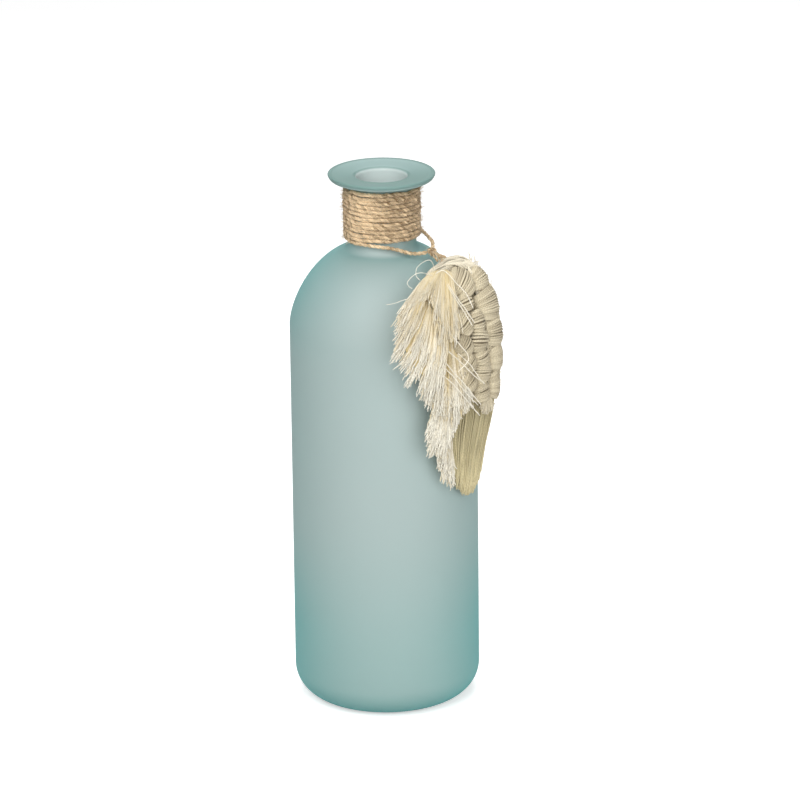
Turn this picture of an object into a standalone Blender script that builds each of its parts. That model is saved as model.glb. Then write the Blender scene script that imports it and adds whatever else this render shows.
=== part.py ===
"""A frosted glass bottle vase with twine wound round its neck and a knotted cotton wing on a loop.

Metres, +Z up. The origin is the middle of the glass's flat underside. The front of the vase faces -Y,
and the wing hangs on the front's right, against the shoulder.
"""
import bpy
import bmesh
from math import atan2, ceil, cos, hypot, pi, radians, sin, sqrt
from mathutils import Matrix, Vector

MM = 0.001
GAP = 0.3 * MM

# The glass
BODY_RADIUS = 50 * MM
HEEL_RADIUS = 17 * MM
SHOULDER_FOOT_Z = 210 * MM
SHOULDER_RISE = 42 * MM
SHOULDER_POWER = 1.6
NECK_RADIUS = 18.2 * MM
NECK_FILLET = 4.5 * MM
NECK_HEIGHT = 31.8 * MM
LIP_RADIUS = 28.7 * MM
LIP_RISE = 2.5 * MM
LIP_EDGE = 3.3 * MM
LIP_DISH = 1.2 * MM
BORE_RADIUS = 13.4 * MM
WALL = 3.6 * MM
FLOOR = 6 * MM
BORE_EASE = 2.2 * MM
GLASS_SEGMENTS = 48
HEEL_STEPS = 7
SHOULDER_STEPS = 11
FILLET_STEPS = 5
LIP_STEPS = 5
LIP_EDGE_STEPS = 6
LIP_CURL = 0.45
LIP_EDGE_POWER = 3.0
INNER_SHOULDER_TOP = 80

# The twine wound round the neck
TWINE_DIAMETER = 1.84 * MM
TWINE_TURNS = 12
TWINE_PITCH = 2.29 * MM
TWINE_POINTS_A_TURN = 24
TWINE_LIP_CLEARANCE = 0.35 * MM
TWINE_END_AZIMUTH = -50

# The slack loop's two runs, as azimuth in degrees from the front, distance from the axis and height in mm.
# The front run starts at the winding's end.
FRONT_RUN = [
    (-24, 19.7, 258.4),
    (-5, 20.1, 257.9),
    (12, 20.9, 257.1),
    (26, 22.4, 255.6),
    (38, 24.6, 253.9),
    (47, 26.9, 253.5),
]
BACK_RUN = [
    (138, 21.8, 260.4),
    (122, 21.8, 259.8),
    (105, 22.1, 258.9),
    (90, 23.9, 257.9),
    (77, 26.7, 257.2),
    (67, 29.4, 256.6),
]
RUN_STEP = 4.5 * MM

# The wing's own frame: t runs across it to the right, s up the glass from the shoulder's foot,
# and h out from its middle surface, which stands off the glass
WING_AZIMUTH = 38
WING_BEND = 120 * MM
WING_STAND_OFF = 6.8 * MM
COTTON_GAP = 0.35 * MM

# The knot that the wing hangs from, and the twine's legs below it, as (t, s, h) in mm
KNOT_AT = (9.6, 46.4, 0.0)
KNOT_RADIUS = 2.3 * MM
LEG_FEET = [(9.0, 40.6, 0.2), (15.2, 41.3, 0.6)]
SHORT_END = [(7.9, 43.8, 3.2), (7.2, 41.8, 4.9), (6.9, 39.6, 5.9)]

# The knotted band's three columns, from the head down, as (left t, right t, middle s, half height) in mm
INNER_KNOTS = [
    (8.8, 22.4, 27.2, 6.2),
    (8.7, 17.8, 17.6, 3.0),
    (4.4, 13.9, 9.2, 4.9),
    (2.6, 12.2, -0.6, 4.2),
    (6.1, 14.6, -10.2, 4.7),
    (6.0, 15.0, -20.6, 5.0),
]
MIDDLE_HITCHES = [
    (14.4, 22.6, 7.8, 4.1),
    (12.9, 24.2, -0.9, 3.9),
    (15.2, 24.2, -9.2, 3.7),
    (15.6, 26.0, -18.2, 4.6),
    (15.6, 24.6, -28.4, 4.9),
]
OUTER_BUNDLES = [
    (23.2, 35.8, 26.6, 5.5),
    (22.0, 38.0, 13.6, 6.8),
    (24.9, 37.6, 0.2, 5.9),
    (26.8, 37.2, -13.0, 6.6),
    (25.6, 34.4, -27.4, 7.2),
]
KNOT_HALF_DEPTH = 4.3 * MM
KNOT_LIFT = 1.0 * MM
THREAD_GROOVE = 0.1

# The head's wrapped crown, along its middle, as (t, s, half width) in mm
CROWN_SPINE = [
    (0.2, 34.0, 1.7),
    (4.0, 35.0, 2.1),
    (8.5, 36.2, 3.0),
    (14.0, 37.2, 3.6),
    (21.5, 36.8, 3.5),
    (28.8, 35.0, 3.0),
]
CROWN_WIDEST = 3.6 * MM
CROWN_HALF_DEPTH = 3.5 * MM

# The core cords behind the columns, at these t in mm
CORE_AT = {"wing_core_left": 11.6, "wing_core_middle": 20.6, "wing_core_right": 31.2}
CORE_RADIUS = 1.0 * MM
CORE_TOP_S = 17 * MM
CORE_FOOT_S = -33.9 * MM

# The fringe, from the head down: its guide threads, each by root, middle and tip as (t, s) in mm,
# then how far out the roots and the tips lie
FRINGE_TIERS = {
    "wing_fringe_cap": {
        "guides": [
            ((-2.6, 33.6), (-17.7, 30.4), (-29.5, 17.5)),
            ((-0.8, 33.0), (-15.1, 28.0), (-27.3, 12.5)),
            ((1.0, 33.0), (-10.3, 26.6), (-19.7, 19.5)),
            ((2.6, 33.2), (-7.6, 24.8), (-12.4, 17.0)),
            ((4.0, 33.4), (-5.6, 19.6), (-12.0, 6.3)),
            ((5.4, 33.4), (-2.9, 19.2), (-8.3, 4.6)),
            ((6.8, 33.4), (0.6, 18.9), (-3.8, 5.0)),
            ((8.0, 33.2), (3.6, 18.4), (0.0, 3.0)),
        ],
        "h": (3.5, 6.6),
        "locks": 8,
    },
    "wing_fringe_upper": {
        "guides": [
            ((-9.4, 26.6), (-26.0, 20.2), (-34.6, 12.4)),
            ((-9.2, 25.0), (-26.4, 13.8), (-37.4, 3.3)),
            ((-8.8, 23.6), (-24.9, 9.2), (-34.6, -2.5)),
            ((-6.9, 22.4), (-20.7, 5.2), (-28.8, -13.3)),
            ((-4.9, 21.2), (-16.2, 1.7), (-22.8, -21.5)),
            ((-2.1, 19.4), (-11.2, 0.1), (-16.6, -27.0)),
            ((1.2, 16.8), (-6.4, -0.5), (-11.8, -22.4)),
        ],
        "h": (1.5, 6.6),
        "locks": 7,
    },
    "wing_fringe_middle": {
        "guides": [
            ((-9.6, 4.0), (-16.1, -11.5), (-19.8, -27.5)),
            ((-7.1, 3.4), (-11.9, -14.0), (-15.7, -32.1)),
            ((-4.0, 2.4), (-7.6, -17.0), (-10.4, -37.6)),
            ((-1.4, 1.2), (-2.5, -19.2), (-4.8, -41.0)),
            ((0.6, 0.0), (1.6, -19.3), (1.6, -39.7)),
            ((2.0, -1.6), (4.0, -18.0), (6.3, -36.4)),
        ],
        "h": (-0.4, 5.2),
        "locks": 6,
    },
    "wing_fringe_lower": {
        "guides": [
            ((-7.9, -23.1), (-13.9, -33.8), (-17.8, -45.3)),
            ((-6.0, -23.5), (-12.2, -39.8), (-16.7, -55.6)),
            ((-3.3, -25.1), (-8.4, -42.7), (-11.9, -59.3)),
            ((-0.7, -26.3), (-4.0, -43.7), (-7.0, -61.5)),
            ((2.1, -28.0), (0.7, -38.0), (-2.4, -47.9)),
            ((4.6, -28.6), (5.5, -35.8), (2.2, -42.3)),
        ],
        "h": (-1.2, 4.2),
        "locks": 6,
    },
    "wing_fringe_tip": {
        "guides": [
            ((-5.5, -46.5), (-8.4, -55.4), (-8.5, -65.7)),
            ((-3.5, -47.5), (-5.8, -59.3), (-6.1, -72.4)),
            ((-0.8, -48.6), (-1.9, -61.8), (-0.9, -77.0)),
            ((1.9, -50.3), (2.8, -65.1), (5.3, -80.7)),
        ],
        "h": (-0.7, 1.2),
        "locks": 4,
    },
}
FRINGE_HALF_DEPTH = 1.45 * MM
FRINGE_TIP_HALF_DEPTH = 0.4 * MM
FRINGE_ROWS = 6
FRINGE_COLUMNS_A_LOCK = 4
FRINGE_LOCK_REACH = 0.12
FRINGE_EDGE_THIN = 0.55

# The combed tail below the knots, by its level rows from the top down, as (left t, right t, s) in mm
TAIL_ROWS = [
    (1.2, 36.4, -34.6),
    (0.0, 38.6, -38.6),
    (-0.7, 38.0, -43.5),
    (-1.1, 35.0, -50.5),
    (-1.0, 31.6, -58.0),
    (-0.2, 28.4, -66.0),
    (1.2, 26.0, -74.0),
    (4.6, 24.0, -80.0),
    (11.0, 21.4, -85.5),
]
TAIL_LIFT = -3.2 * MM
TAIL_HALF_DEPTH = 2.0 * MM
TAIL_THINNING = 0.75

AQUA_GLASS = ((0.40, 0.60, 0.58, 1.0), 0.55)
JUTE = ((0.50, 0.33, 0.17, 1.0), 0.95)
COTTON = ((0.83, 0.75, 0.60, 1.0), 0.95)
COTTON_KNOT = ((0.62, 0.54, 0.42, 1.0), 0.95)


def clear_scene():
    for thing in list(bpy.data.objects):
        bpy.data.objects.remove(thing, do_unlink=True)


def new_material(name, look):
    colour, roughness = look
    material = bpy.data.materials.new(name)
    material.use_nodes = True
    shader = material.node_tree.nodes["Principled BSDF"]
    shader.inputs["Base Color"].default_value = colour
    shader.inputs["Roughness"].default_value = roughness
    shader.inputs["Metallic"].default_value = 0.0
    return material


def add_solid(name, points, faces, look, sharp=40):
    """One closed mesh object, its faces turned outward."""
    mesh = bpy.data.meshes.new(name)
    mesh.from_pydata([tuple(p) for p in points], [], faces)
    shape = bmesh.new()
    shape.from_mesh(mesh)
    bmesh.ops.recalc_face_normals(shape, faces=shape.faces)
    shape.to_mesh(mesh)
    shape.free()
    mesh.shade_smooth()
    mesh.set_sharp_from_angle(angle=radians(sharp))
    thing = bpy.data.objects.new(name, mesh)
    thing.data.materials.append(new_material(name, look))
    bpy.context.scene.collection.objects.link(thing)
    return thing


def add_rings(name, rings, look, sharp=40):
    """A closed solid through rings of equal count, each end closed by a fan to its middle."""
    count = len(rings[0])
    points = [p for ring in rings for p in ring]
    faces = []
    for row in range(len(rings) - 1):
        for k in range(count):
            a = row * count + k
            b = row * count + (k + 1) % count
            faces.append((a, b, b + count, a + count))
    for row in (0, len(rings) - 1):
        middle = sum(rings[row], Vector()) / count
        points.append(middle)
        hub = len(points) - 1
        for k in range(count):
            faces.append((row * count + k, row * count + (k + 1) % count, hub))
    return add_solid(name, points, faces, look, sharp)


def add_tube(name, points, diameter, look, resolution):
    """A round cord along the points, with closed ends."""
    curve = bpy.data.curves.new(name, "CURVE")
    curve.dimensions = "3D"
    curve.bevel_depth = diameter / 2
    curve.bevel_resolution = resolution
    curve.use_fill_caps = True
    spline = curve.splines.new("POLY")
    spline.points.add(len(points) - 1)
    for slot, p in zip(spline.points, points):
        slot.co = (p[0], p[1], p[2], 1.0)
    spline.use_smooth = True
    thing = bpy.data.objects.new(name, curve)
    curve.materials.append(new_material(name, look))
    bpy.context.scene.collection.objects.link(thing)
    return thing


def round_axis(azimuth, radius, z):
    """A point by its azimuth in degrees from the front, to the right."""
    turn = radians(azimuth)
    return Vector((radius * sin(turn), -radius * cos(turn), z))


def superellipse(angle, power):
    return max(cos(angle), 0.0) ** (2 / power), max(sin(angle), 0.0) ** (2 / power)


def shoulder(angle):
    """The dome's outer profile, from its foot at 0 to the neck's level at a right angle."""
    across, up = superellipse(angle, SHOULDER_POWER)
    return NECK_RADIUS + (BODY_RADIUS - NECK_RADIUS) * across, SHOULDER_FOOT_Z + SHOULDER_RISE * up


def shoulder_normal(angle):
    step = 0.002
    low = shoulder(max(angle - step, 0.0))
    high = shoulder(min(angle + step, pi / 2))
    along = Vector((high[0] - low[0], high[1] - low[1])).normalized()
    return Vector((along.y, -along.x))


def neck_fillet():
    """Where the fillet leaves the dome, its middle and its turn, found by halving."""
    low, high = radians(50), radians(89)
    for _ in range(40):
        middle = (low + high) / 2
        r, _z = shoulder(middle)
        if r + shoulder_normal(middle).x * NECK_FILLET > NECK_RADIUS + NECK_FILLET:
            low = middle
        else:
            high = middle
    r, z = shoulder(low)
    normal = shoulder_normal(low)
    centre = (r + normal.x * NECK_FILLET, z + normal.y * NECK_FILLET)
    start = atan2(z - centre[1], r - centre[0])
    return low, centre, start


def outer_profile():
    """The glass's outside from the middle of its foot to the lip's top edge, as (r, z)."""
    profile = [(0.0, 0.0), ((BODY_RADIUS - HEEL_RADIUS) / 2, 0.0)]
    for k in range(HEEL_STEPS + 1):
        turn = radians(-90 + k * 90 / HEEL_STEPS)
        profile.append((BODY_RADIUS - HEEL_RADIUS + HEEL_RADIUS * cos(turn), HEEL_RADIUS * (1 + sin(turn))))
    profile.append((BODY_RADIUS, (HEEL_RADIUS + SHOULDER_FOOT_Z) / 2))
    leave, centre, start = neck_fillet()
    for k in range(SHOULDER_STEPS + 1):
        profile.append(shoulder(leave * k / SHOULDER_STEPS))
    for k in range(1, FILLET_STEPS + 1):
        turn = start + (-pi - start) * k / FILLET_STEPS
        profile.append((centre[0] + NECK_FILLET * cos(turn), centre[1] + NECK_FILLET * sin(turn)))
    neck_top = centre[1] + NECK_HEIGHT
    profile.append((NECK_RADIUS, neck_top))
    flare = LIP_RADIUS - LIP_EDGE / 2 - NECK_RADIUS
    for k in range(1, LIP_STEPS + 1):
        share = k / LIP_STEPS
        profile.append((NECK_RADIUS + flare * share, neck_top + LIP_RISE * share ** LIP_CURL))
    edge_z = neck_top + LIP_RISE + LIP_EDGE / 2
    for k in range(1, LIP_EDGE_STEPS + 1):
        turn = radians(-90 + k * 180 / LIP_EDGE_STEPS)
        across, up = superellipse(abs(turn), LIP_EDGE_POWER)
        up = up if turn > 0 else -up
        profile.append((LIP_RADIUS - LIP_EDGE / 2 * (1 - across), edge_z + LIP_EDGE / 2 * up))
    return profile, centre, neck_top


def inner_profile(centre, neck_top):
    """The glass's inside from the lip's top edge down to the middle of the floor, as (r, z)."""
    lip_top = neck_top + LIP_RISE + LIP_EDGE
    ease = BORE_EASE
    profile = [((LIP_RADIUS + BORE_RADIUS) / 2, lip_top - LIP_DISH * 0.6)]
    for k in range(4):
        turn = radians(90 + k * 30)
        profile.append((BORE_RADIUS + ease + ease * cos(turn), lip_top - LIP_DISH - ease + ease * sin(turn)))
    profile.append((BORE_RADIUS, centre[1]))
    for k in range(8):
        angle = radians(INNER_SHOULDER_TOP) * (1 - k / 7)
        r, z = shoulder(angle)
        normal = shoulder_normal(angle)
        inner_r = max(r - normal.x * WALL, BORE_RADIUS)
        if profile[-1][1] - (z - normal.y * WALL) > 0.5 * MM:
            profile.append((inner_r, z - normal.y * WALL))
    inside = HEEL_RADIUS - WALL
    for k in range(7):
        turn = radians(-k * 90 / 6)
        profile.append((BODY_RADIUS - WALL - inside + inside * cos(turn), FLOOR + inside * (1 + sin(turn))))
    profile.append((0.0, FLOOR))
    return profile


def glass_bottle():
    outer, centre, neck_top = outer_profile()
    profile = outer + inner_profile(centre, neck_top)
    count = GLASS_SEGMENTS
    points = []
    rows = []
    for r, z in profile:
        if r == 0.0:
            points.append(Vector((0.0, 0.0, z)))
            rows.append([len(points) - 1] * count)
        else:
            rows.append([len(points) + k for k in range(count)])
            points += [round_axis(360 * k / count, r, z) for k in range(count)]
    faces = []
    for low, high in zip(rows, rows[1:]):
        for k in range(count):
            n = (k + 1) % count
            corners = []
            for c in (low[k], low[n], high[n], high[k]):
                if c not in corners:
                    corners.append(c)
            faces.append(tuple(corners))
    add_solid("glass_bottle", points, faces, AQUA_GLASS)
    return centre, neck_top


def least_gap_to_itself(points, diameter, skip):
    """The least gap between stretches of one cord that lie more than skip points apart."""
    least = 1.0
    for a in range(len(points)):
        for b in range(a + skip, len(points)):
            least = min(least, (points[a] - points[b]).length)
    return least - diameter


def neck_winding(neck_top):
    """The twine's turns as one cord, from the top under the lip down to the slack loop."""
    radius = NECK_RADIUS + GAP + TWINE_DIAMETER / 2
    top_z = neck_top - TWINE_LIP_CLEARANCE - TWINE_DIAMETER / 2
    steps = TWINE_TURNS * TWINE_POINTS_A_TURN
    points = []
    for k in range(steps + 1):
        turns_left = (steps - k) / TWINE_POINTS_A_TURN
        azimuth = TWINE_END_AZIMUTH - 360 * turns_left
        z = top_z - TWINE_PITCH * (TWINE_TURNS - turns_left)
        points.append(round_axis(azimuth, radius, z))
    first = (points[0] - points[1]).normalized()
    last = (points[-1] - points[-2]).normalized()
    points.insert(0, points[0] + first * TWINE_DIAMETER)
    points.append(points[-1] + last * TWINE_DIAMETER)
    gap = least_gap_to_itself(points, TWINE_DIAMETER, TWINE_POINTS_A_TURN // 2)
    print("least gap between the twine's turns, mm:", round(gap / MM, 3))
    add_tube("twine_winding", points, TWINE_DIAMETER, JUTE, 1)
    return points[-1], last


def smooth_route(marks, step):
    """Even points about one step apart on a smooth curve through the marks."""
    ends = [marks[0] * 2 - marks[1]] + list(marks) + [marks[-1] * 2 - marks[-2]]
    fine = []
    for a, b, c, d in zip(ends, ends[1:], ends[2:], ends[3:]):
        for k in range(20):
            u = k / 20
            fine.append(0.5 * (2 * b + (c - a) * u + (2 * a - 5 * b + 4 * c - d) * u ** 2
                               + (3 * b - a - 3 * c + d) * u ** 3))
    fine.append(marks[-1])
    reach = [0.0]
    for a, b in zip(fine, fine[1:]):
        reach.append(reach[-1] + (b - a).length)
    count = max(2, ceil(reach[-1] / step))
    even = []
    at = 0
    for k in range(count + 1):
        want = reach[-1] * k / count
        while at < len(fine) - 2 and reach[at + 1] < want:
            at += 1
        span = max(reach[at + 1] - reach[at], 1e-9)
        even.append(fine[at].lerp(fine[at + 1], (want - reach[at]) / span))
    return even


def up_to_knot(marks, centre):
    """The marks with two more, which bring the twine straight up to the knot."""
    way = (marks[-1] - centre).normalized()
    near = KNOT_RADIUS + GAP
    return marks + [centre + way * (near + TWINE_DIAMETER), centre + way * near]


def slack_runs(winding_end, winding_way, centre):
    """The twine's two free runs, from the neck to the knot."""
    front = [round_axis(azimuth, r * MM, z * MM) for azimuth, r, z in FRONT_RUN]
    back = [round_axis(azimuth, r * MM, z * MM) for azimuth, r, z in BACK_RUN]
    start = winding_end + winding_way * GAP
    front = up_to_knot([start + winding_way * TWINE_DIAMETER] + front, centre)
    back = up_to_knot(back, centre)
    front_route = [start] + smooth_route(front[:-1], RUN_STEP) + front[-1:]
    back_route = smooth_route(back[:-1], RUN_STEP) + back[-1:]
    add_tube("twine_slack_front", front_route, TWINE_DIAMETER, JUTE, 2)
    add_tube("twine_slack_back", back_route, TWINE_DIAMETER, JUTE, 2)


class Carrier:
    """The glass's outline as a length s up from the shoulder's foot, which the wing follows."""

    def __init__(self):
        self.places = [(0.0, 0.0)]
        before = shoulder(0.0)
        for k in range(1, 181):
            angle = radians(k / 2)
            here = shoulder(angle)
            length = self.places[-1][0] + hypot(here[0] - before[0], here[1] - before[1])
            self.places.append((length, angle))
            before = here

    def angle(self, s):
        for (low, a), (high, b) in zip(self.places, self.places[1:]):
            if s <= high:
                return a + (b - a) * (s - low) / (high - low)
        return self.places[-1][1]

    def off(self, s, h):
        """Distance from the axis and height at h off the wing's middle surface."""
        stand_off = WING_STAND_OFF + h
        if s <= 0.0:
            return BODY_RADIUS + stand_off, SHOULDER_FOOT_Z + s
        angle = self.angle(s)
        r, z = shoulder(angle)
        normal = shoulder_normal(angle)
        return r + normal.x * stand_off, z + normal.y * stand_off


CARRIER = Carrier()


def on_wing(t, s, h):
    """A point of the wing's frame, t, s and h in metres."""
    middle_r, _z = CARRIER.off(s, 0.0)
    r, z = CARRIER.off(s, h)
    turn = radians(WING_AZIMUTH)
    bend = turn + t / WING_BEND
    reach = WING_BEND + r - middle_r
    x = (middle_r - WING_BEND) * sin(turn) + reach * sin(bend)
    y = -(middle_r - WING_BEND) * cos(turn) - reach * cos(bend)
    return Vector((x, y, z))


def wing_mark(mark):
    return on_wing(*[value * MM for value in mark])


def add_bundle(name, spine, look, sides=10, power=2.3, level=False):
    """A bundle of cord along a spine of (t, s, h, half width, half depth), all in metres.

    Its rings stand square to the spine, or lie level.
    """
    rings = []
    for k, (t, s, h, half_width, half_depth) in enumerate(spine):
        before = spine[max(k - 1, 0)]
        after = spine[min(k + 1, len(spine) - 1)]
        along = Vector((after[0] - before[0], after[1] - before[1])).normalized()
        if level:
            along = Vector((0.0, -1.0))
        ring = []
        for side in range(sides):
            angle = 2 * pi * side / sides
            c, d = cos(angle), sin(angle)
            across = half_width * abs(c) ** (2 / power) * (1 if c > 0 else -1)
            out = half_depth * abs(d) ** (2 / power) * (1 if d > 0 else -1)
            ring.append(on_wing(t - along.y * across, s + along.x * across, h + out))
        rings.append(ring)
    return add_rings(name, rings, look, 50)


def wrapped_knot(name, left, right, middle_s, half_height, threads, look):
    """A knot's lump, lying across the wing, grooved between the threads that wrap it."""
    spine = []
    steps = 2 * threads
    for k in range(steps + 1):
        share = k / steps
        side = 2 * share - 1
        swell = (1 - abs(side) ** 3.2) ** 0.5 * 0.72 + 0.28
        groove = 1 - THREAD_GROOVE * (k % 2)
        t = left + (right - left) * share
        spine.append((t, middle_s, KNOT_LIFT, half_height * swell * groove, KNOT_HALF_DEPTH * swell * groove))
    add_bundle(name, spine, look)


def knotted_band():
    columns = (
        ("wing_knot", INNER_KNOTS, 4, COTTON_KNOT),
        ("wing_hitch", MIDDLE_HITCHES, 4, COTTON_KNOT),
        ("wing_bundle", OUTER_BUNDLES, 5, COTTON),
    )
    for name, rows, threads, look in columns:
        for row, (left, right, s, half) in enumerate(rows, 1):
            wrapped_knot(f"{name}_{row}", left * MM, right * MM, s * MM, half * MM, threads, look)


def crown():
    route = smooth_route([Vector(mark) * MM for mark in CROWN_SPINE], 2.2 * MM)
    spine = []
    for k, p in enumerate(route):
        side = 2 * k / (len(route) - 1) - 1
        swell = (1 - abs(side) ** 4) ** 0.5 * 0.6 + 0.4
        groove = 1 - THREAD_GROOVE * (k % 2)
        half_depth = CROWN_HALF_DEPTH * p.z / CROWN_WIDEST
        spine.append((p.x, p.y, 0.0, p.z * swell * groove, half_depth * swell * groove))
    add_bundle("wing_crown", spine, COTTON)


def core_cords():
    """The cords behind the columns, which the knots are tied on."""
    lift = KNOT_LIFT - KNOT_HALF_DEPTH - COTTON_GAP - CORE_RADIUS
    for name, t in CORE_AT.items():
        steps = 8
        points = []
        for k in range(steps + 1):
            s = CORE_TOP_S + (CORE_FOOT_S - CORE_TOP_S) * k / steps
            points.append(on_wing(t * MM, s, lift))
        add_tube(name, points, 2 * CORE_RADIUS, COTTON_KNOT, 2)


def along_guides(guides, share, down):
    """A place between the guide threads, at a share across them and a share down them."""
    at = share * (len(guides) - 1)
    left = min(int(at), len(guides) - 2)
    weights = ((1 - down) * (1 - 2 * down), 4 * down * (1 - down), down * (2 * down - 1))
    place = Vector((0.0, 0.0))
    for guide, part in ((guides[left], 1 - (at - left)), (guides[left + 1], at - left)):
        for mark, weight in zip(guide, weights):
            place += Vector(mark) * (weight * part)
    return place


def fringe_tier(name, guides, lift, locks):
    """A tier of combed fringe: locks side by side, fused along their length, with pointed tips."""
    columns = locks * FRINGE_COLUMNS_A_LOCK + 1
    front, back = [], []
    for row in range(FRINGE_ROWS + 1):
        down = row / FRINGE_ROWS
        for column in range(columns):
            share = column / (columns - 1)
            in_lock = (column % FRINGE_COLUMNS_A_LOCK) / FRINGE_COLUMNS_A_LOCK
            ridge = sin(pi * in_lock)
            reach = down * (1 - FRINGE_LOCK_REACH * (1 - ridge) * down)
            place = along_guides(guides, share, reach)
            h = lift[0] + (lift[1] - lift[0]) * down ** 0.9
            thin = FRINGE_TIP_HALF_DEPTH + (FRINGE_HALF_DEPTH - FRINGE_TIP_HALF_DEPTH) * sqrt(1 - down)
            half = thin * (0.55 + 0.45 * ridge)
            if column in (0, columns - 1) or row == 0:
                half *= FRINGE_EDGE_THIN
            front.append(on_wing(place.x * MM, place.y * MM, h * MM + half))
            back.append(on_wing(place.x * MM, place.y * MM, h * MM - half))
    points = front + back
    other = len(front)
    faces = []
    for row in range(FRINGE_ROWS):
        for column in range(columns - 1):
            a = row * columns + column
            faces.append((a, a + 1, a + columns + 1, a + columns))
            faces.append((other + a, other + a + columns, other + a + columns + 1, other + a + 1))
    rim = [(0, c) for c in range(columns)]
    rim += [(r, columns - 1) for r in range(1, FRINGE_ROWS + 1)]
    rim += [(FRINGE_ROWS, c) for c in range(columns - 2, -1, -1)]
    rim += [(r, 0) for r in range(FRINGE_ROWS - 1, 0, -1)]
    places = [r * columns + c for r, c in rim]
    for a, b in zip(places, places[1:] + places[:1]):
        faces.append((a, other + a, other + b, b))
    add_solid(name, points, faces, COTTON, 60)


def tail():
    rows = []
    for k, (left, right, s) in enumerate(TAIL_ROWS):
        half_depth = TAIL_HALF_DEPTH * (1 - TAIL_THINNING * (k / (len(TAIL_ROWS) - 1)) ** 2)
        rows.append(((left + right) / 2 * MM, s * MM, TAIL_LIFT, (right - left) / 2 * MM, half_depth))
    add_bundle("wing_tail", rows, COTTON_KNOT, sides=16, power=3.0, level=True)


def hanging_knot():
    """The twine's knot, a ball with the grooves of its strands."""
    centre = wing_mark(KNOT_AT)
    rings = []
    for row in range(1, 9):
        polar = pi * row / 9
        ring = []
        for k in range(14):
            turn = 2 * pi * k / 14
            groove = 1 - 0.09 * (0.5 + 0.5 * cos(3 * turn + 4 * polar)) * sin(polar)
            out = KNOT_RADIUS * groove
            ring.append(centre + Vector((sin(polar) * cos(turn), sin(polar) * sin(turn), cos(polar))) * out)
        rings.append(ring)
    add_rings("twine_knot", rings, JUTE, 60)
    return centre


def knot_twine(centre):
    """The two legs that carry the wing, and the twine's short end."""
    for name, foot in zip(("twine_leg_left", "twine_leg_right"), LEG_FEET):
        low = wing_mark(foot)
        start = centre + (low - centre).normalized() * (KNOT_RADIUS + GAP)
        add_tube(name, [start, start.lerp(low, 0.5), low], 0.85 * TWINE_DIAMETER, JUTE, 2)
    marks = [wing_mark(mark) for mark in SHORT_END]
    start = centre + (marks[0] - centre).normalized() * (KNOT_RADIUS + GAP)
    add_tube("twine_short_end", [start] + marks, 0.85 * TWINE_DIAMETER, JUTE, 2)


def hang_on(pivot_name, place, pieces, above=None):
    """An empty on the hinges' axes, which carries the pieces that move with it."""
    pivot = bpy.data.objects.new(pivot_name, None)
    pivot.empty_display_size = KNOT_RADIUS
    bpy.context.scene.collection.objects.link(pivot)
    if above is None:
        pivot.location = place
    else:
        pivot.parent = above
    for piece in pieces:
        piece.parent = pivot
        piece.matrix_parent_inverse = Matrix.Translation(-place)
    return pivot


def main():
    clear_scene()
    _centre, neck_top = glass_bottle()
    winding_end, winding_way = neck_winding(neck_top)
    knot = hanging_knot()
    slack_runs(winding_end, winding_way, knot)
    knot_twine(knot)
    crown()
    knotted_band()
    core_cords()
    for name, tier in FRINGE_TIERS.items():
        fringe_tier(name, tier["guides"], tier["h"], tier["locks"])
    tail()
    things = bpy.context.scene.collection.objects
    lifted = hang_on("hanger_pivot", knot, [things["twine_knot"], things["twine_short_end"]])
    swung = [thing for thing in things if thing.name.startswith(("wing_", "twine_leg_"))]
    hang_on("wing_pivot", knot, swung, lifted)
    print("knot's middle, m:", [round(value, 5) for value in knot])
    print("neck's top, mm:", round(neck_top / MM, 2))


main()
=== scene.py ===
from math import atan2, cos, pi, radians, sin

import bpy
import numpy as np
from bpy.props import FloatProperty, FloatVectorProperty, IntProperty, PointerProperty
from mathutils import Matrix, Vector


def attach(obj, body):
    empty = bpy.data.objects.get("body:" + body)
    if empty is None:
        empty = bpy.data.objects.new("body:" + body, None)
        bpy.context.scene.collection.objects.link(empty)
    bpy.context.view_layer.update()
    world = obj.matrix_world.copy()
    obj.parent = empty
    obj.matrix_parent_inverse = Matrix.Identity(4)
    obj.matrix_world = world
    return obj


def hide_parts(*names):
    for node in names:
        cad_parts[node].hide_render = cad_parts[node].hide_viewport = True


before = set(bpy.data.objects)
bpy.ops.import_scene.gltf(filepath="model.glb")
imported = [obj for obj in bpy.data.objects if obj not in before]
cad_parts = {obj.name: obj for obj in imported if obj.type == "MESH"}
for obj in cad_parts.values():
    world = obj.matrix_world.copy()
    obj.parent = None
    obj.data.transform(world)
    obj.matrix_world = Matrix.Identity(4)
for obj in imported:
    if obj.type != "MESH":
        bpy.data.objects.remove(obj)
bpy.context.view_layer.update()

bl_info = {
    "name": "Frosted bottle vase with a knotted wing",
    "version": (1, 0, 0),
    "blender": (4, 5, 0),
    "location": "3D View > Sidebar > Vase",
    "description": "Frosted glass, jute twine and a combed cotton wing, piece by piece",
    "category": "Object",
}

MM = 0.001

# Where each piece's random draws start, so that every run gives the same threads
SEEDS = {"slack": 11, "winding": 7, "knot": 23, "band": 31, "cores": 37, "crown": 41, "fringe": 50,
         "tail": 61, "loose": 71}

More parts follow.
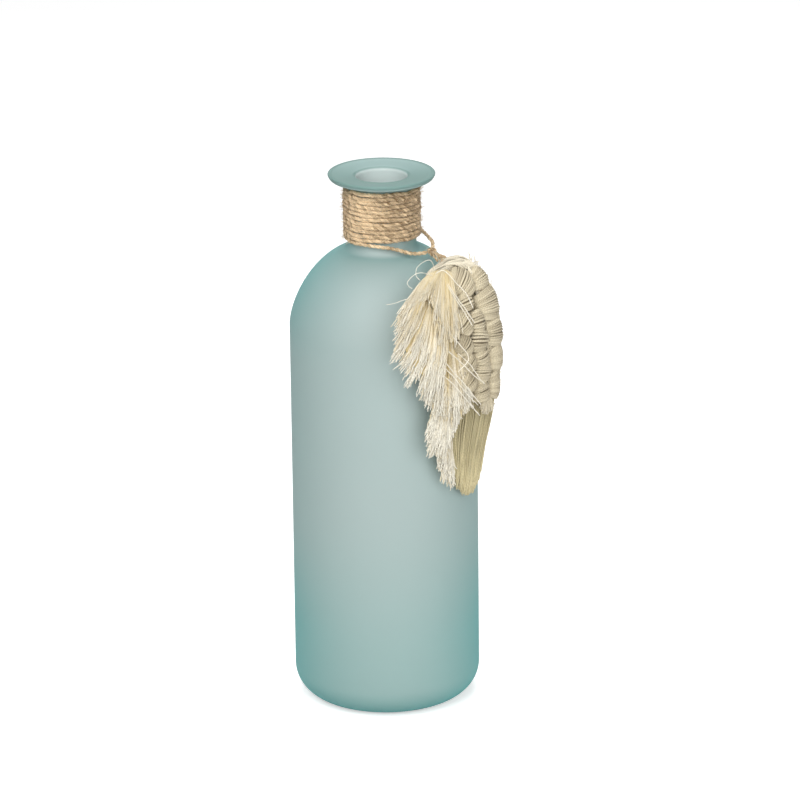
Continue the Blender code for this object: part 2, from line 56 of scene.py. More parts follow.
# The glass, in mm
BODY_RADIUS = 50.0
HEEL_RADIUS = 17.0
FOOT_RING = 15.0
SHOULDER_FOOT_Z = 210.0
SHOULDER_RISE = 42.0
SHOULDER_POWER = 1.6
NECK_RADIUS = 18.2
NECK_FILLET = 4.5
NECK_HEIGHT = 31.8
LIP_RADIUS = 28.7
LIP_RISE = 2.5
LIP_EDGE = 3.3
LIP_DISH = 1.2
LIP_CURL = 0.45
LIP_EDGE_POWER = 3.0
LIP_SLANT = 1.3
LIP_FLARE_POWER = 1.6
BORE_RADIUS = 13.4
BORE_EASE = 2.2
WALL = 3.6
FLOOR = 6.0
INNER_SHOULDER_TOP = 80

# Where the glass changes colour, in metres: heights first, then distances from the axis
TONE_HEIGHTS = (0.01, 0.13)
DEEP_BELOW = (0.11, 0.02)
DEEP_ABOVE = (0.19, 0.235)
NECK_END_HEIGHT = 0.262
LIP_FACE_HEIGHT = 0.2908
LIP_FACE_RADIUS = 0.0262
MOUTH_RING, MOUTH_RING_WIDTH = 0.0146, 0.0009
# Where the painted light inside the mouth starts and where it is full, as distances from the axis
PAINTED_LIGHT_MOUTH_EDGE = (0.0142, 0.0135)

# The lamps: azimuth and rise in degrees, and size in metres
LAMPS = {"key": (-18, 42, 1.2), "fill": (34, 12, 1.6), "top": (170, 72, 1.0)}
LAMP_AIM_Z = 0.15
LAMP_DISTANCE = 1.5
FLOOR_RADIUS = 5.0
FLOOR_DROP = 0.0002
FLOOR_GLOW = (0.5, 0.5, 0.5)

# The twine, in mm; the runs are azimuth in degrees from the front, distance from the axis and height.
# Fullness, packing and the knot's thickness are shares of the diameter
CORD_GAP = 0.3
TWINE_TURNS = 12
TWINE_PITCH = 2.29
TWINE_LIP_CLEARANCE = 0.35
TWINE_END_AZIMUTH = -50
TWINE_CAD_STEPS = 24
FRONT_RUN = [(-24, 19.7, 258.4), (-5, 20.1, 257.9), (12, 20.9, 257.1), (26, 22.4, 255.6), (38, 24.6, 253.9),
             (47, 26.9, 253.5)]
BACK_RUN = [(138, 21.8, 260.4), (122, 21.8, 259.8), (105, 22.1, 258.9), (90, 23.9, 257.9), (77, 26.7, 257.2),
            (67, 29.4, 256.6)]
RUN_STEP = 4.5
TWINE_STEP = 0.4
SLACK_FULLNESS = 1.16
SLACK_HAIRS = 34
PACKING_RADIUS = 0.3
UNEVEN_KNOTS = 230
UNEVEN_OUT = 0.2
UNEVEN_UP = 0.26
# The centre and width, in degrees of azimuth, of the winding's painted highlight
HIGHLIGHT_AZIMUTH, HIGHLIGHT_WIDTH = -30, 24
KNOT_RADIUS = 2.3
KNOT_SCALE = 0.66
KNOT_DEPTH = 1.05
KNOT_THICKNESS = 0.8
KNOT_FACE = (0.25, -0.9, 0.3)
KNOT_HAIRS = 60
SPRAY_HAIRS = 46
SPRAY_RADIUS = 0.06
SPRAY_LENGTH = (1.6, 3.8)
LEG_BOW = 0.6
PLY_SHARES = {2: (0.2, 0.32), 3: (0.265, 0.25)}  # a ply's offset and radius in diameters, by number of plies
PATCH_LENGTH = 2.2
HAIR_RADIUS = 0.08

# The wing's frame, in mm: t across it, s up the glass from the shoulder's foot, h out
WING_AZIMUTH = 38
WING_BEND = 120.0
WING_STAND_OFF = 6.8
KNOT_AT = (9.6, 46.4, 0.0)
LEG_FEET = {"twine_leg_left": (9.0, 40.6, 0.2), "twine_leg_right": (15.2, 41.3, 0.6)}
SHORT_END = [(7.9, 43.8, 3.2), (7.2, 41.8, 4.9), (6.9, 39.6, 5.9)]

# The band's lumps, as (left t, right t, middle s, half height), each with its ribs' slant in degrees
INNER_KNOTS = [(8.8, 22.4, 27.2, 6.2, 34), (8.7, 17.8, 17.6, 3.0, 5), (4.4, 13.9, 9.2, 4.9, 30),
               (2.6, 12.2, -0.6, 4.2, 34), (6.1, 14.6, -10.2, 4.7, 38), (6.0, 15.0, -20.6, 5.0, 42)]
MIDDLE_HITCHES = [(14.4, 22.6, 7.8, 4.1, 2), (12.9, 24.2, -0.9, 3.9, -8), (15.2, 24.2, -9.2, 3.7, 14),
                  (15.6, 26.0, -18.2, 4.6, -12), (15.6, 24.6, -28.4, 4.9, 8)]
OUTER_BUNDLES = [(23.2, 35.8, 26.6, 5.5, 30), (22.0, 38.0, 13.6, 6.8, 6), (24.9, 37.6, 0.2, 5.9, -14),
                 (26.8, 37.2, -13.0, 6.6, -8), (25.6, 34.4, -27.4, 7.2, -14)]
KNOT_HALF_DEPTH = 4.3
KNOT_LIFT = 1.0
LUMP_POWER, LUMP_GROW = 2.4, 1.16
BUNDLE_POWER, BUNDLE_GROW = 2.2, 1.2
LOOP_POINTS = 30
RIB_SIDES = 7
RIBS_A_PITCH = 2.3
BUNDLE_PITCH = 0.9
STEEP_SLANT = 10

# The band's edges, as (s, left t, right t), and the cords behind it
BAND_EDGES = np.array([(31.0, 8.0, 29.0), (27.0, 8.0, 32.0), (20.0, 7.8, 35.5), (14.0, 7.5, 36.8),
                       (8.0, 4.0, 37.0), (-1.0, 3.0, 37.0), (-14.0, 6.0, 36.5), (-33.0, 9.0, 33.5)])
CORE_AT = {"wing_core_left": 11.6, "wing_core_middle": 20.6, "wing_core_right": 31.2}
COTTON_GAP = 0.35
CORE_RADIUS = 1.0
CORE_TOP_S = 17.0
CORE_FOOT_S = -33.9
CORE_LAY = 8
CORE_STRANDS = 7
STRAND_WIDTH, STRAND_LAY = 1.9, 5

# The crown's line, as (t, s, half width), and the cords over its right end, as (t, s, h), with their width
CROWN_ROUTE = [(-1.8, 32.9, 1.7), (0.3, 34.2, 2.6), (4.0, 35.4, 3.0), (8.5, 36.3, 3.1), (14.0, 37.5, 3.6),
               (21.5, 37.2, 3.5), (26.0, 35.8, 2.8), (29.2, 32.8, 2.1), (31.4, 28.2, 1.5)]
CROWN_DEPTH = 0.97
CROWN_STEP = 0.7
CROWN_YARNS = 30
CROWN_YARN_RADIUS = 0.47
SLANTING_CORDS = 7
SLANTING_WIDTH, SLANTING_LAY = 1.35, 4
CROWN_CORD_LAY = 4.5
FRAY_HAIRS = 30
FRAY_FROM_T = 28.0
CROWN_CORDS = [
    ([(19.0, 36.4, 2.4), (22.8, 33.4, 3.2), (24.2, 28.4, 3.4), (23.9, 21.4, 2.8)], 2.0),
    ([(22.5, 36.6, 1.6), (25.8, 32.6, 2.6), (26.2, 28.0, 2.6), (25.6, 19.6, 1.8)], 2.0),
    ([(24.6, 26.0, 1.0), (25.0, 21.0, 1.4), (25.4, 12.0, 0.8)], 2.4),
    ([(27.4, 26.0, 0.6), (27.6, 21.0, 0.8), (27.8, 12.0, 0.2)], 2.4),
    ([(24.0, 36.0, 2.6), (27.2, 33.8, 3.6), (29.2, 30.6, 3.6), (29.8, 27.4, 2.8)], 1.5),
    ([(25.4, 36.0, 1.4), (28.6, 33.8, 2.4), (30.8, 30.4, 2.4), (31.6, 26.8, 1.6)], 1.5),
]

# The fringe's tiers. h: how far out roots and tips lie. combed: how far down they stay straight.
# locks, yarns and fibres: how many. short: how much shorter the front yarns may be. parts: partings across.
# pale: at the roots, more in front, towards the tips, at the left, whose low values are painted shade that
# makes the roots and the back yarns deep golden. guides: root, middle and tip as (t, s)
FRINGE_TIERS = {
    "wing_fringe_cap": dict(
        h=(3.5, 7.6), combed=0.62, locks=8, yarns=400, fibres=900, short=0.42, parts=(0.31, 0.81),
        pale=(0.04, 0.26, 0.4, 0.1), guides=[
            ((-2.4, 34.6), (-17.0, 28.0), (-33.4, 15.8)), ((-1.0, 34.8), (-15.8, 25.4), (-36.0, 8.0)),
            ((0.6, 34.8), (-13.6, 23.6), (-33.0, 1.5)), ((2.6, 34.8), (-9.6, 28.2), (-20.0, 22.0)),
            ((4.2, 34.6), (-6.4, 28.2), (-13.0, 22.8)), ((5.6, 34.4), (-4.2, 20.6), (-12.0, 4.6)),
            ((7.0, 34.0), (-1.6, 19.6), (-7.4, 3.0)), ((8.4, 33.4), (1.8, 18.9), (-3.0, 3.2)),
            ((9.6, 32.4), (4.5, 18.4), (0.8, 1.6))]),
    "wing_fringe_upper": dict(
        h=(1.5, 6.8), combed=0.3, locks=7, yarns=500, fibres=160, short=0.62, parts=(0.3, 0.6),
        pale=(-0.5, 0.7, 1.3, 0.3), guides=[
            ((-7.4, 28.6), (-21.8, 21.2), (-35.2, 12.8)), ((-7.2, 27.0), (-22.0, 14.6), (-38.0, 2.2)),
            ((-7.0, 25.6), (-20.4, 10.2), (-35.4, -3.4)), ((-5.9, 24.4), (-17.2, 5.8), (-29.4, -13.8)),
            ((-4.5, 23.2), (-13.4, 2.0), (-23.4, -21.8)), ((-2.6, 21.4), (-9.8, 0.2), (-17.0, -27.3)),
            ((0.2, 18.0), (-5.8, -0.4), (-11.0, -22.4))]),
    "wing_fringe_middle": dict(
        h=(-0.4, 5.4), combed=0.22, locks=6, yarns=500, fibres=120, short=0.55, parts=(0.42, 0.7),
        pale=(-0.45, 0.75, 1.1, 0.15), guides=[
            ((-9.6, 4.4), (-14.6, -11.5), (-20.8, -27.2)), ((-7.1, 4.0), (-11.0, -14.0), (-16.4, -32.1)),
            ((-4.0, 4.5), (-7.6, -17.0), (-10.4, -37.6)), ((-1.4, 5.0), (-2.5, -19.2), (-4.8, -41.0)),
            ((0.5, 5.0), (2.8, -19.3), (1.6, -39.7)), ((2.4, 4.9), (5.2, -17.0), (7.8, -36.0)),
            ((4.0, 4.5), (7.6, -15.8), (12.4, -31.2))]),
    "wing_fringe_lower": dict(
        h=(-1.0, 4.2), combed=0.15, locks=6, yarns=450, fibres=80, short=0.5, parts=(),
        pale=(-0.05, 0.85, 0.75, 0.1), guides=[
            ((-7.9, -21.1), (-12.8, -33.8), (-18.4, -44.8)), ((-6.0, -22.5), (-10.8, -39.8), (-17.2, -55.2)),
            ((-3.3, -25.1), (-7.4, -42.7), (-12.3, -59.3)), ((-0.7, -26.3), (-4.0, -43.7), (-7.0, -61.5)),
            ((1.6, -27.0), (0.4, -38.0), (-2.6, -48.5)), ((4.0, -27.6), (4.6, -35.8), (1.6, -42.3))]),
    "wing_fringe_tip": dict(
        h=(-0.7, 1.4), combed=0.15, locks=4, yarns=190, fibres=60, short=0.55, parts=(),
        pale=(-0.05, 0.85, 0.6, 0.0), guides=[
            ((-5.5, -46.5), (-8.4, -55.4), (-8.5, -65.7)), ((-3.5, -47.5), (-5.8, -59.3), (-6.1, -72.4)),
            ((-1.2, -48.6), (-2.5, -61.8), (-2.0, -76.6)), ((0.4, -50.3), (0.4, -64.1), (2.2, -79.4))]),
}
FRINGE_HALF_DEPTH = 1.45
FRINGE_TIP_HALF_DEPTH = 0.4
FRINGE_LOCK_REACH = 0.12
FRINGE_STRANDS_A_LOCK = 2.6
PARTING_WIDTH = 0.035
PARTING_SHADE_WIDTH = 0.03
BACKING_REACH = 0.78

# What sets a tier's yarns and its finer fibres apart: points and sides of a thread, how far it gathers into
# its lock, how far its end flicks, its crimp in mm, and how far its end stands off
YARN = dict(points=26, sides=5, gather=0.55, flick=0.85, crimp=0.36, proud=0.0)
FIBRE = dict(points=10, sides=4, gather=0.35, flick=0.55, crimp=0.0, proud=0.35)

# The tail: its level rows as (left t, right t, s), and where its threads start and end, as (t, s)
TAIL_ROWS = [(1.2, 36.4, -34.6), (0.0, 38.6, -38.6), (-0.7, 38.0, -43.5), (-1.1, 35.0, -50.5),
             (-1.0, 31.6, -58.0), (-0.2, 28.4, -66.0), (1.2, 26.0, -74.0), (4.6, 24.0, -80.0),
             (11.0, 21.4, -85.5)]
TAIL_TOP = [(0.0, -31.0), (6.0, -26.0), (30.0, -26.0), (33.5, -33.0), (37.5, -36.0)]
TAIL_ENDS = [(-1.0, -69.0), (1.0, -74.5), (5.0, -80.0), (11.0, -84.6), (16.0, -86.4), (21.0, -86.2),
             (24.5, -80.0)]
TAIL_LIFT = -3.2
TAIL_HALF_DEPTH = 2.0
TAIL_THINNING = 0.75
TAIL_LEFT_LIMIT = 1.6
TAIL_LENGTH = 51
TAIL_THREADS = 620
TAIL_POINTS = 20
TAIL_LOCKS = 21
TAIL_THICKENING = 1.35
TAIL_CREAM_SHARE = 0.07
TAIL_SHORT_SHARE = 0.2

# Loose cotton threads over the wing: the h that each starts from and lies at, and its places as (t, s)
LOOSE_THREADS = [
    (1.0, 7.2, [(3.4, 36.4), (0.6, 38.6), (-1.4, 39.6), (-6.9, 38.9), (-10.9, 36.9), (-13.1, 33.8),
                (-12.2, 31.3)]),
    (6.0, 8.4, [(-3.4, 32.6), (-9.2, 34.2), (-14.4, 34.1), (-19.8, 31.6), (-20.4, 29.8), (-18.9, 28.2)]),
    (6.4, 7.4, [(-19.0, 23.4), (-21.5, 24.3), (-26.1, 24.0), (-31.8, 23.3), (-35.1, 23.2)]),
    (5.0, 9.0, [(-1.6, 33.4), (1.8, 33.3), (3.7, 31.7), (4.9, 29.4), (7.2, 25.3), (10.3, 21.1), (11.3, 17.4),
                (12.0, 14.3)]),
    (6.0, 8.6, [(2.8, 28.0), (3.3, 20.3), (6.3, 13.6), (9.2, 7.5)]),
    (6.0, 8.9, [(3.6, 28.3), (4.3, 20.5), (7.5, 14.3), (11.1, 8.2)]),
    (4.2, 8.8, [(-8.6, 2.8), (-1.1, -4.7), (7.1, -13.9), (16.1, -22.3)]),
    (4.2, 9.1, [(-7.8, -4.3), (-1.2, -14.1), (5.7, -23.5), (13.1, -33.2)]),
    (4.2, 8.8, [(-8.5, -6.4), (-2.5, -15.5), (4.4, -25.4), (11.4, -32.8)]),
    (4.2, 8.2, [(-12.0, -8.2), (-5.5, -16.2), (3.3, -27.1), (13.0, -39.4)]),
    (7.0, 8.8, [(-4.2, 6.7), (0.9, 1.2), (5.2, -4.5), (3.3, -7.9), (-1.8, -11.2)]),
    (5.5, 8.6, [(1.4, -2.5), (7.2, -10.0), (13.9, -20.1)]),
]
THIN_LOOSE = 3
LOOSE_RADIUS, THIN_RADIUS = 0.24, 0.16
# LOOSE_DEEP shows at the puff's roots, as painted shade
LOOSE_DEEP, LOOSE_PALE = (0.62, 0.55, 0.40), (0.87, 0.82, 0.70)
PUFF_HAIRS = 150
FUZZ_HAIRS = 170
FUZZ_RADIUS = 0.075
FUZZ_FOOT_S, FUZZ_SPAN = -30, 66


def colour_prop(name, description, default):
    return FloatVectorProperty(name=name, description=description, default=default, subtype="COLOR")


def length_prop(name, description, default, least=0.0):
    return FloatProperty(name=name, description=description, default=default, min=least, unit="LENGTH")


def angle_prop(name, description, default):
    return FloatProperty(name=name, description=description, default=radians(default), subtype="ANGLE")


def share_prop(name, description, default):
    return FloatProperty(
        name=name, description=description, default=default, min=0.0, max=1.0, subtype="FACTOR")


def power_prop(name, description, default):
    return FloatProperty(name=name, description=description, default=default, min=0.0, unit="POWER")


class Stage(bpy.types.PropertyGroup):
    distance: length_prop("Camera distance", "From the aim point", 3.0, 0.5)
    aim_height: length_prop("Aim height", "Of the aim point", 0.15)
    pitch: angle_prop("Camera pitch", "Down from level", 19)
    roll: angle_prop("Camera roll", "Clockwise", 0.71)
    focal: FloatProperty(
        name="Focal length", description="On a 36 mm sensor", default=251.186, unit="CAMERA")
    shift: FloatVectorProperty(name="Shift", description="Of the frame", size=2, default=(0.0193, 0.034975))
    key: power_prop("Key lamp", "Its power", 18.0)
    fill: power_prop("Fill lamp", "Its power", 11.5)
    top: power_prop("Top lamp", "Its power", 11.0)
    room: share_prop("Room light", "From all sides", 0.27)
    floor: colour_prop("Floor", "Its colour", (0.9, 0.9, 0.9))


class Glass(bpy.types.PropertyGroup):
    segments: IntProperty(name="Segments", description="Round the glass", default=144, min=24)
    upper: colour_prop("Upper", "Colour above", (0.425, 0.52, 0.505))
    lower: colour_prop("Lower", "Colour below", (0.345, 0.50, 0.48))
    frost: share_prop("Frost", "Roughness", 0.55)
    clear: share_prop("Clear", "Light let through", 0.3)
    lip: colour_prop("Lip", "Colour of the lip's near side", (0.185, 0.315, 0.29))
    # Painted light: the pale colour inside the mouth
    mouth: colour_prop("Mouth", "Colour inside the mouth", (0.72, 0.81, 0.79))
    deep: colour_prop("Deep", "Colour through the sides", (0.06, 0.44, 0.43))
    tint: colour_prop("Tint", "Of the light let through", (0.35, 0.70, 0.66))
    depth: FloatProperty(name="Depth of tint", description="Per metre", default=200.0, min=0.0)


class Twine(bpy.types.PropertyGroup):
    diameter: length_prop("Diameter", "Of the laid twine", 1.84 * MM)
    full: length_prop("Full diameter", "With its loose fibres", 2.3 * MM)
    lay: length_prop("Lay", "One turn of a ply", 5.0 * MM)
    hairs: IntProperty(name="Hairs", description="On the winding", default=1600, min=0)
    pale: colour_prop("Pale", "Pale fibres", (0.98, 0.75, 0.47))
    dark: colour_prop("Dark", "Dark fibres", (0.25, 0.155, 0.07))


class Cotton(bpy.types.PropertyGroup):
    yarn: length_prop("Yarn", "Radius of a fringe's yarn", 0.3 * MM)
    fibre: length_prop("Fibre", "Radius of a combed fibre", 0.19 * MM)
    rib: length_prop("Rib", "Radius of a knot's thread", 0.64 * MM)
    pitch: length_prop("Rib pitch", "Between a knot's threads", 1.04 * MM)
    ivory: colour_prop("Ivory", "Combed cotton", (0.835, 0.775, 0.635))
    tips: colour_prop("Tips", "The fringe's very ends", (0.84, 0.80, 0.685))
    crown: colour_prop("Crown", "The head's cords", (0.82, 0.75, 0.595))
    # Painted shade: the golden colour that cotton takes in the depths between threads
    shade_gold: colour_prop("Gold", "Depths", (0.75, 0.61, 0.335))
    knots: colour_prop("Knots", "The band", (0.635, 0.56, 0.40))
    tail: colour_prop("Tail", "The tail", (0.55, 0.48, 0.285))


class Wire:
    """A node's output, used in Python sums that add their own Math nodes."""

    def __init__(self, finish, socket):
        self.finish = finish
        self.socket = socket

    def math(self, operation, *values):
        return self.finish.node("ShaderNodeMath", {"operation": operation}, dict(enumerate(values)))

    def __add__(self, other):
        return self.math("ADD", self, other)

    def __radd__(self, other):
        return self.math("ADD", other, self)

    def __sub__(self, other):
        return self.math("SUBTRACT", self, other)

    def __rsub__(self, other):
        return self.math("SUBTRACT", other, self)

    def __mul__(self, other):
        return self.math("MULTIPLY", self, other)

    def __rmul__(self, other):
        return self.math("MULTIPLY", other, self)

    def __truediv__(self, other):
        return self.math("DIVIDE", self, other)

    def __pow__(self, other):
        return self.math("POWER", self, other)

    def __abs__(self):
        return self.math("ABSOLUTE", self)

    def clamped(self):
        return self.finish.node("ShaderNodeClamp", {}, {0: self})


class Finish:
    """A material, or the world, and the one way its nodes are added."""

    def __init__(self, name, world=None):
        self.material = world or bpy.data.materials.new(name)
        self.material.use_nodes = True
        self.tree = self.material.node_tree
        self.shader = self.tree.nodes["Background" if world else "Principled BSDF"]

    def node(self, kind, settings, values, output=0):
        made = self.tree.nodes.new(kind)
        for key, value in settings.items():
            setattr(made, key, value)
        for key, value in values.items():
            self.join(value, made.inputs[key])
        return Wire(self, made.outputs[output])

    def join(self, value, socket):
        if isinstance(value, Wire):
            self.tree.links.new(value.socket, socket)
        elif socket.type == "RGBA" and len(value) == 3:
            socket.default_value = (*value, 1.0)
        else:
            socket.default_value = value

    def on_shader(self, **values):
        for key, value in values.items():
            self.join(value, self.shader.inputs[key.replace("_", " ")])

    def thread_values(self):
        """The grain, shade and reach that Threads keeps on its points."""
        return [self.node("ShaderNodeAttribute", {"attribute_name": name}, {}, output)
                for name, output in (("grain", 1), ("shade", 2), ("reach", 2))]

    def part(self, vector, index):
        return self.node("ShaderNodeSeparateXYZ", {}, {0: vector}, index)

    def scaled(self, vector, scale):
        return self.node("ShaderNodeVectorMath", {"operation": "MULTIPLY"}, {0: vector, 1: scale})

    def rising(self, value, ends, way="SMOOTHSTEP"):
        """0 at the first of the two ends and 1 at the second."""
        values = {"Value": value, "From Min": ends[0], "From Max": ends[1]}
        return self.node("ShaderNodeMapRange", {"interpolation_type": way}, values)

    def mixed(self, share, a, b, blend="MIX"):
        settings = {"data_type": "RGBA", "blend_type": blend}
        return self.node("ShaderNodeMix", settings, {0: share, 6: a, 7: b}, 2)

    def noise(self, place, scale, detail=2.0, rough=0.5):
        values = {"Vector": place, "Scale": scale, "Detail": detail, "Roughness": rough}
        return self.node("ShaderNodeTexNoise", {}, values)

    def bump(self, height, strength, distance):
        values = {"Height": height, "Strength": strength, "Distance": distance}
        return self.node("ShaderNodeBump", {}, values)


def unit(vectors):
    return vectors / np.maximum(np.linalg.norm(vectors, axis=-1, keepdims=True), 1e-12)


def dots(a, b):
    return np.sum(a * b, axis=-1, keepdims=True)


def headings(route):
    return unit(np.gradient(route, axis=0))


def lengths_along(route):
    """How far each point lies along a route (n, any)."""
    return np.concatenate([[0.0], np.cumsum(np.linalg.norm(np.diff(route, axis=0), axis=1))])


def round_turn(count):
    return 2 * pi * np.arange(count) / count


def superellipse(angle, power):
    c, d = np.cos(angle), np.sin(angle)
    return np.sign(c) * np.abs(c) ** (2 / power), np.sign(d) * np.abs(d) ** (2 / power)


def sides_along(paths, closed=False):
    """Two directions square to each path at each point, carried along without twist."""
    if closed:
        along = unit(np.roll(paths, -1, axis=1) - np.roll(paths, 1, axis=1))
    else:
        along = unit(np.gradient(paths, axis=1))
    guess = np.where(np.abs(along[:, :1, 2:]) < 0.9, [[[0.0, 0.0, 1.0]]], [[[1.0, 0.0, 0.0]]])
    side = np.empty_like(paths)
    now = np.cross(along[:, 0], guess[:, 0])
    for k in range(paths.shape[1]):
        now = unit(now - dots(now, along[:, k]) * along[:, k])
        side[:, k] = now
    return side, np.cross(along, side)


class Threads:
    """Gathers threads and forms into one mesh of closed bodies, with grain, shade and reach on its points."""

    GRAIN_STEP = 37.0  # mm of grain between shades 0 and 1, so that no two threads look alike

    def __init__(self):
        self.points, self.grain, self.shade, self.reach = [], [], [], []
        self.corners, self.counts = [], []
        self.total = 0

    def keep(self, points, grain, shade, reach):
        self.points.append(points.reshape(-1, 3))
        self.grain.append(grain.reshape(-1, 3))
        self.shade.append(shade.reshape(-1))
        self.reach.append(reach.reshape(-1))
        self.total += points.size // 3

    def add_faces(self, faces):
        self.corners.append(faces.reshape(-1))
        self.counts.append(np.full(len(faces), faces.shape[1]))

    def add_walls(self, m, n, sides, closed=False):
        """Faces round the m tubes of n rings that were kept last, with flat ends on open ones."""
        first = self.total - m * n * sides + (np.arange(m) * n * sides)[:, None]
        row = np.arange(n if closed else n - 1)[None, :, None]
        low = first[:, :, None] + row * sides
        high = first[:, :, None] + (row + 1) % n * sides
        j = np.arange(sides)
        k = (j + 1) % sides
        self.add_faces(np.stack([low + j, low + k, high + k, high + j], axis=-1).reshape(-1, 4))
        if not closed:
            self.add_faces(first + j[::-1])
            self.add_faces(first + (n - 1) * sides + j)

    def add(self, paths, radii, sides, shade, closed=False, reach=None):
        """paths is (m, n, 3) in metres, radii a number or (m, n), shade (m,), reach up to (m, n)."""
        paths = np.asarray(paths, dtype=float)
        if paths.ndim == 2:
            paths = paths[None]
        m, n, _ = paths.shape
        radii = np.broadcast_to(radii, (m, n))
        shade = np.broadcast_to(shade, (m,))
        side, other = sides_along(paths, closed)
        turn = round_turn(sides)
        c, d = np.cos(turn)[:, None], np.sin(turn)[:, None]
        rings = paths[:, :, None] + radii[:, :, None, None] * (side[:, :, None] * c + other[:, :, None] * d)
        step = np.linalg.norm(np.diff(paths, axis=1), axis=-1)
        length = np.concatenate([np.zeros((m, 1)), np.cumsum(step, axis=1)], axis=1) / MM
        grain = np.empty((m, n, sides, 3))
        grain[..., 0] = np.cos(turn)
        grain[..., 1] = np.sin(turn)
        grain[..., 2] = (length + self.GRAIN_STEP * shade[:, None])[:, :, None]
        if reach is None:
            reach = np.linspace(0, 1, n)
        reach = np.broadcast_to(reach, (m, n))[:, :, None]
        self.keep(rings, grain, *(np.broadcast_to(v, (m, n, sides)) for v in (shade[:, None, None], reach)))
        self.add_walls(m, n, sides, closed)

    def add_form(self, rings, shade, reach=0.0):
        """A closed form through rings (n, sides, 3) in metres, its ends closed by flat faces."""
        n, sides, _ = rings.shape
        self.keep(rings, np.zeros_like(rings), np.full((n, sides), shade), np.full((n, sides), reach))
        self.add_walls(1, n, sides)

    def piece(self, name, finish, body, nodes):
        """The mesh as one piece that rides on its body and stands for its CAD nodes."""
        mesh = bpy.data.meshes.new(name)
        points, corners, counts = (np.concatenate(v) for v in (self.points, self.corners, self.counts))
        mesh.vertices.add(len(points))
        mesh.vertices.foreach_set("co", points.ravel())
        mesh.loops.add(len(corners))
        mesh.loops.foreach_set("vertex_index", corners.astype(np.int32))
        mesh.polygons.add(len(counts))
        starts = np.concatenate([[0], np.cumsum(counts)[:-1]])
        mesh.polygons.foreach_set("loop_start", starts.astype(np.int32))
        mesh.update(calc_edges=True)
        for key, kind, word in (("grain", "FLOAT_VECTOR", "vector"), ("shade", "FLOAT", "value"),
                                ("reach", "FLOAT", "value")):
            layer = mesh.attributes.new(key, kind, "POINT")
            layer.data.foreach_set(word, np.concatenate(getattr(self, key)).astype(np.float32).ravel())
        mesh.shade_smooth()
        return place_piece(name, mesh, finish, body, nodes)


def put_in_scene(name, data):
    thing = bpy.data.objects.new(name, data)
    bpy.context.scene.collection.objects.link(thing)
    return thing


def place_piece(name, mesh, finish, body, nodes):
    thing = put_in_scene(name, mesh)
    mesh.materials.append(finish)
    if nodes:
        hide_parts(*nodes)
    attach(thing, body)
    return thing


def round_axis(azimuth, radius, z):
    """Points by azimuth in degrees from the front, radius and height, all but azimuth in mm."""
    turn = np.radians(np.asarray(azimuth, dtype=float))
    r = np.asarray(radius, dtype=float)
    return np.stack(np.broadcast_arrays(r * np.sin(turn), -r * np.cos(turn), z), axis=-1) * MM


def shoulder_at(angle):
    across = np.clip(np.cos(angle), 0, None) ** (2 / SHOULDER_POWER)
    up = np.clip(np.sin(angle), 0, None) ** (2 / SHOULDER_POWER)
    return NECK_RADIUS + (BODY_RADIUS - NECK_RADIUS) * across, SHOULDER_FOOT_Z + SHOULDER_RISE * up


def shoulder_normal(angle):
    low_r, low_z = shoulder_at(np.maximum(angle - 0.002, 0.0))
    high_r, high_z = shoulder_at(np.minimum(angle + 0.002, pi / 2))
    length = np.hypot(high_r - low_r, high_z - low_z)
    return (high_z - low_z) / length, -(high_r - low_r) / length


SHOULDER_ANGLES = np.radians(np.linspace(0, 90, 361))
SHOULDER_R, SHOULDER_Z = shoulder_at(SHOULDER_ANGLES)
SHOULDER_LINE = (SHOULDER_R, SHOULDER_Z, *shoulder_normal(SHOULDER_ANGLES))
SHOULDER_LENGTH = np.concatenate([[0.0], np.cumsum(np.hypot(np.diff(SHOULDER_R), np.diff(SHOULDER_Z)))])


def on_wing(t, s, h):
    """Points of the wing's frame in metres, from t, s and h in mm."""
    t, s, h = np.broadcast_arrays(*[np.asarray(value, dtype=float) for value in (t, s, h)])
    up = np.maximum(s, 0.0)
    low = np.minimum(s, 0.0)
    glass_r, glass_z, out_r, out_z = (np.interp(up, SHOULDER_LENGTH, values) for values in SHOULDER_LINE)
    middle_r = glass_r + out_r * WING_STAND_OFF
    r = glass_r + out_r * (WING_STAND_OFF + h)
    z = glass_z + low + out_z * (WING_STAND_OFF + h)
    turn = radians(WING_AZIMUTH)
    bend = turn + t / WING_BEND
    reach = WING_BEND + r - middle_r
    x = (middle_r - WING_BEND) * sin(turn) + reach * np.sin(bend)
    y = -(middle_r - WING_BEND) * cos(turn) - reach * np.cos(bend)
    return np.stack([x, y, z], axis=-1) * MM


def through(marks, step):
    """Even points about one step apart on a smooth curve through the marks."""
    marks = np.asarray(marks, dtype=float)
    ends = np.concatenate([[2 * marks[0] - marks[1]], marks, [2 * marks[-1] - marks[-2]]])
    u = (np.arange(20) / 20)[:, None]
    fine = []
    for a, b, c, d in zip(ends, ends[1:], ends[2:], ends[3:]):
        fine.append(0.5 * (2 * b + (c - a) * u + (2 * a - 5 * b + 4 * c - d) * u ** 2
                           + (3 * b - a - 3 * c + d) * u ** 3))
    fine = np.concatenate(fine + [marks[-1:]])
    reach = lengths_along(fine)
    want = np.linspace(0, reach[-1], max(2, int(np.ceil(reach[-1] / step))) + 1)
    return np.stack([np.interp(want, reach, fine[:, k]) for k in range(fine.shape[1])], axis=1)


def soft_noise(rng, m, n, knots):
    """Smooth random values about 0, (m, n), from knots random ones a row."""
    rough = rng.normal(size=(m, knots))
    want = np.linspace(0, knots - 1, n)
    return np.stack([np.interp(want, np.arange(knots), row) for row in rough])


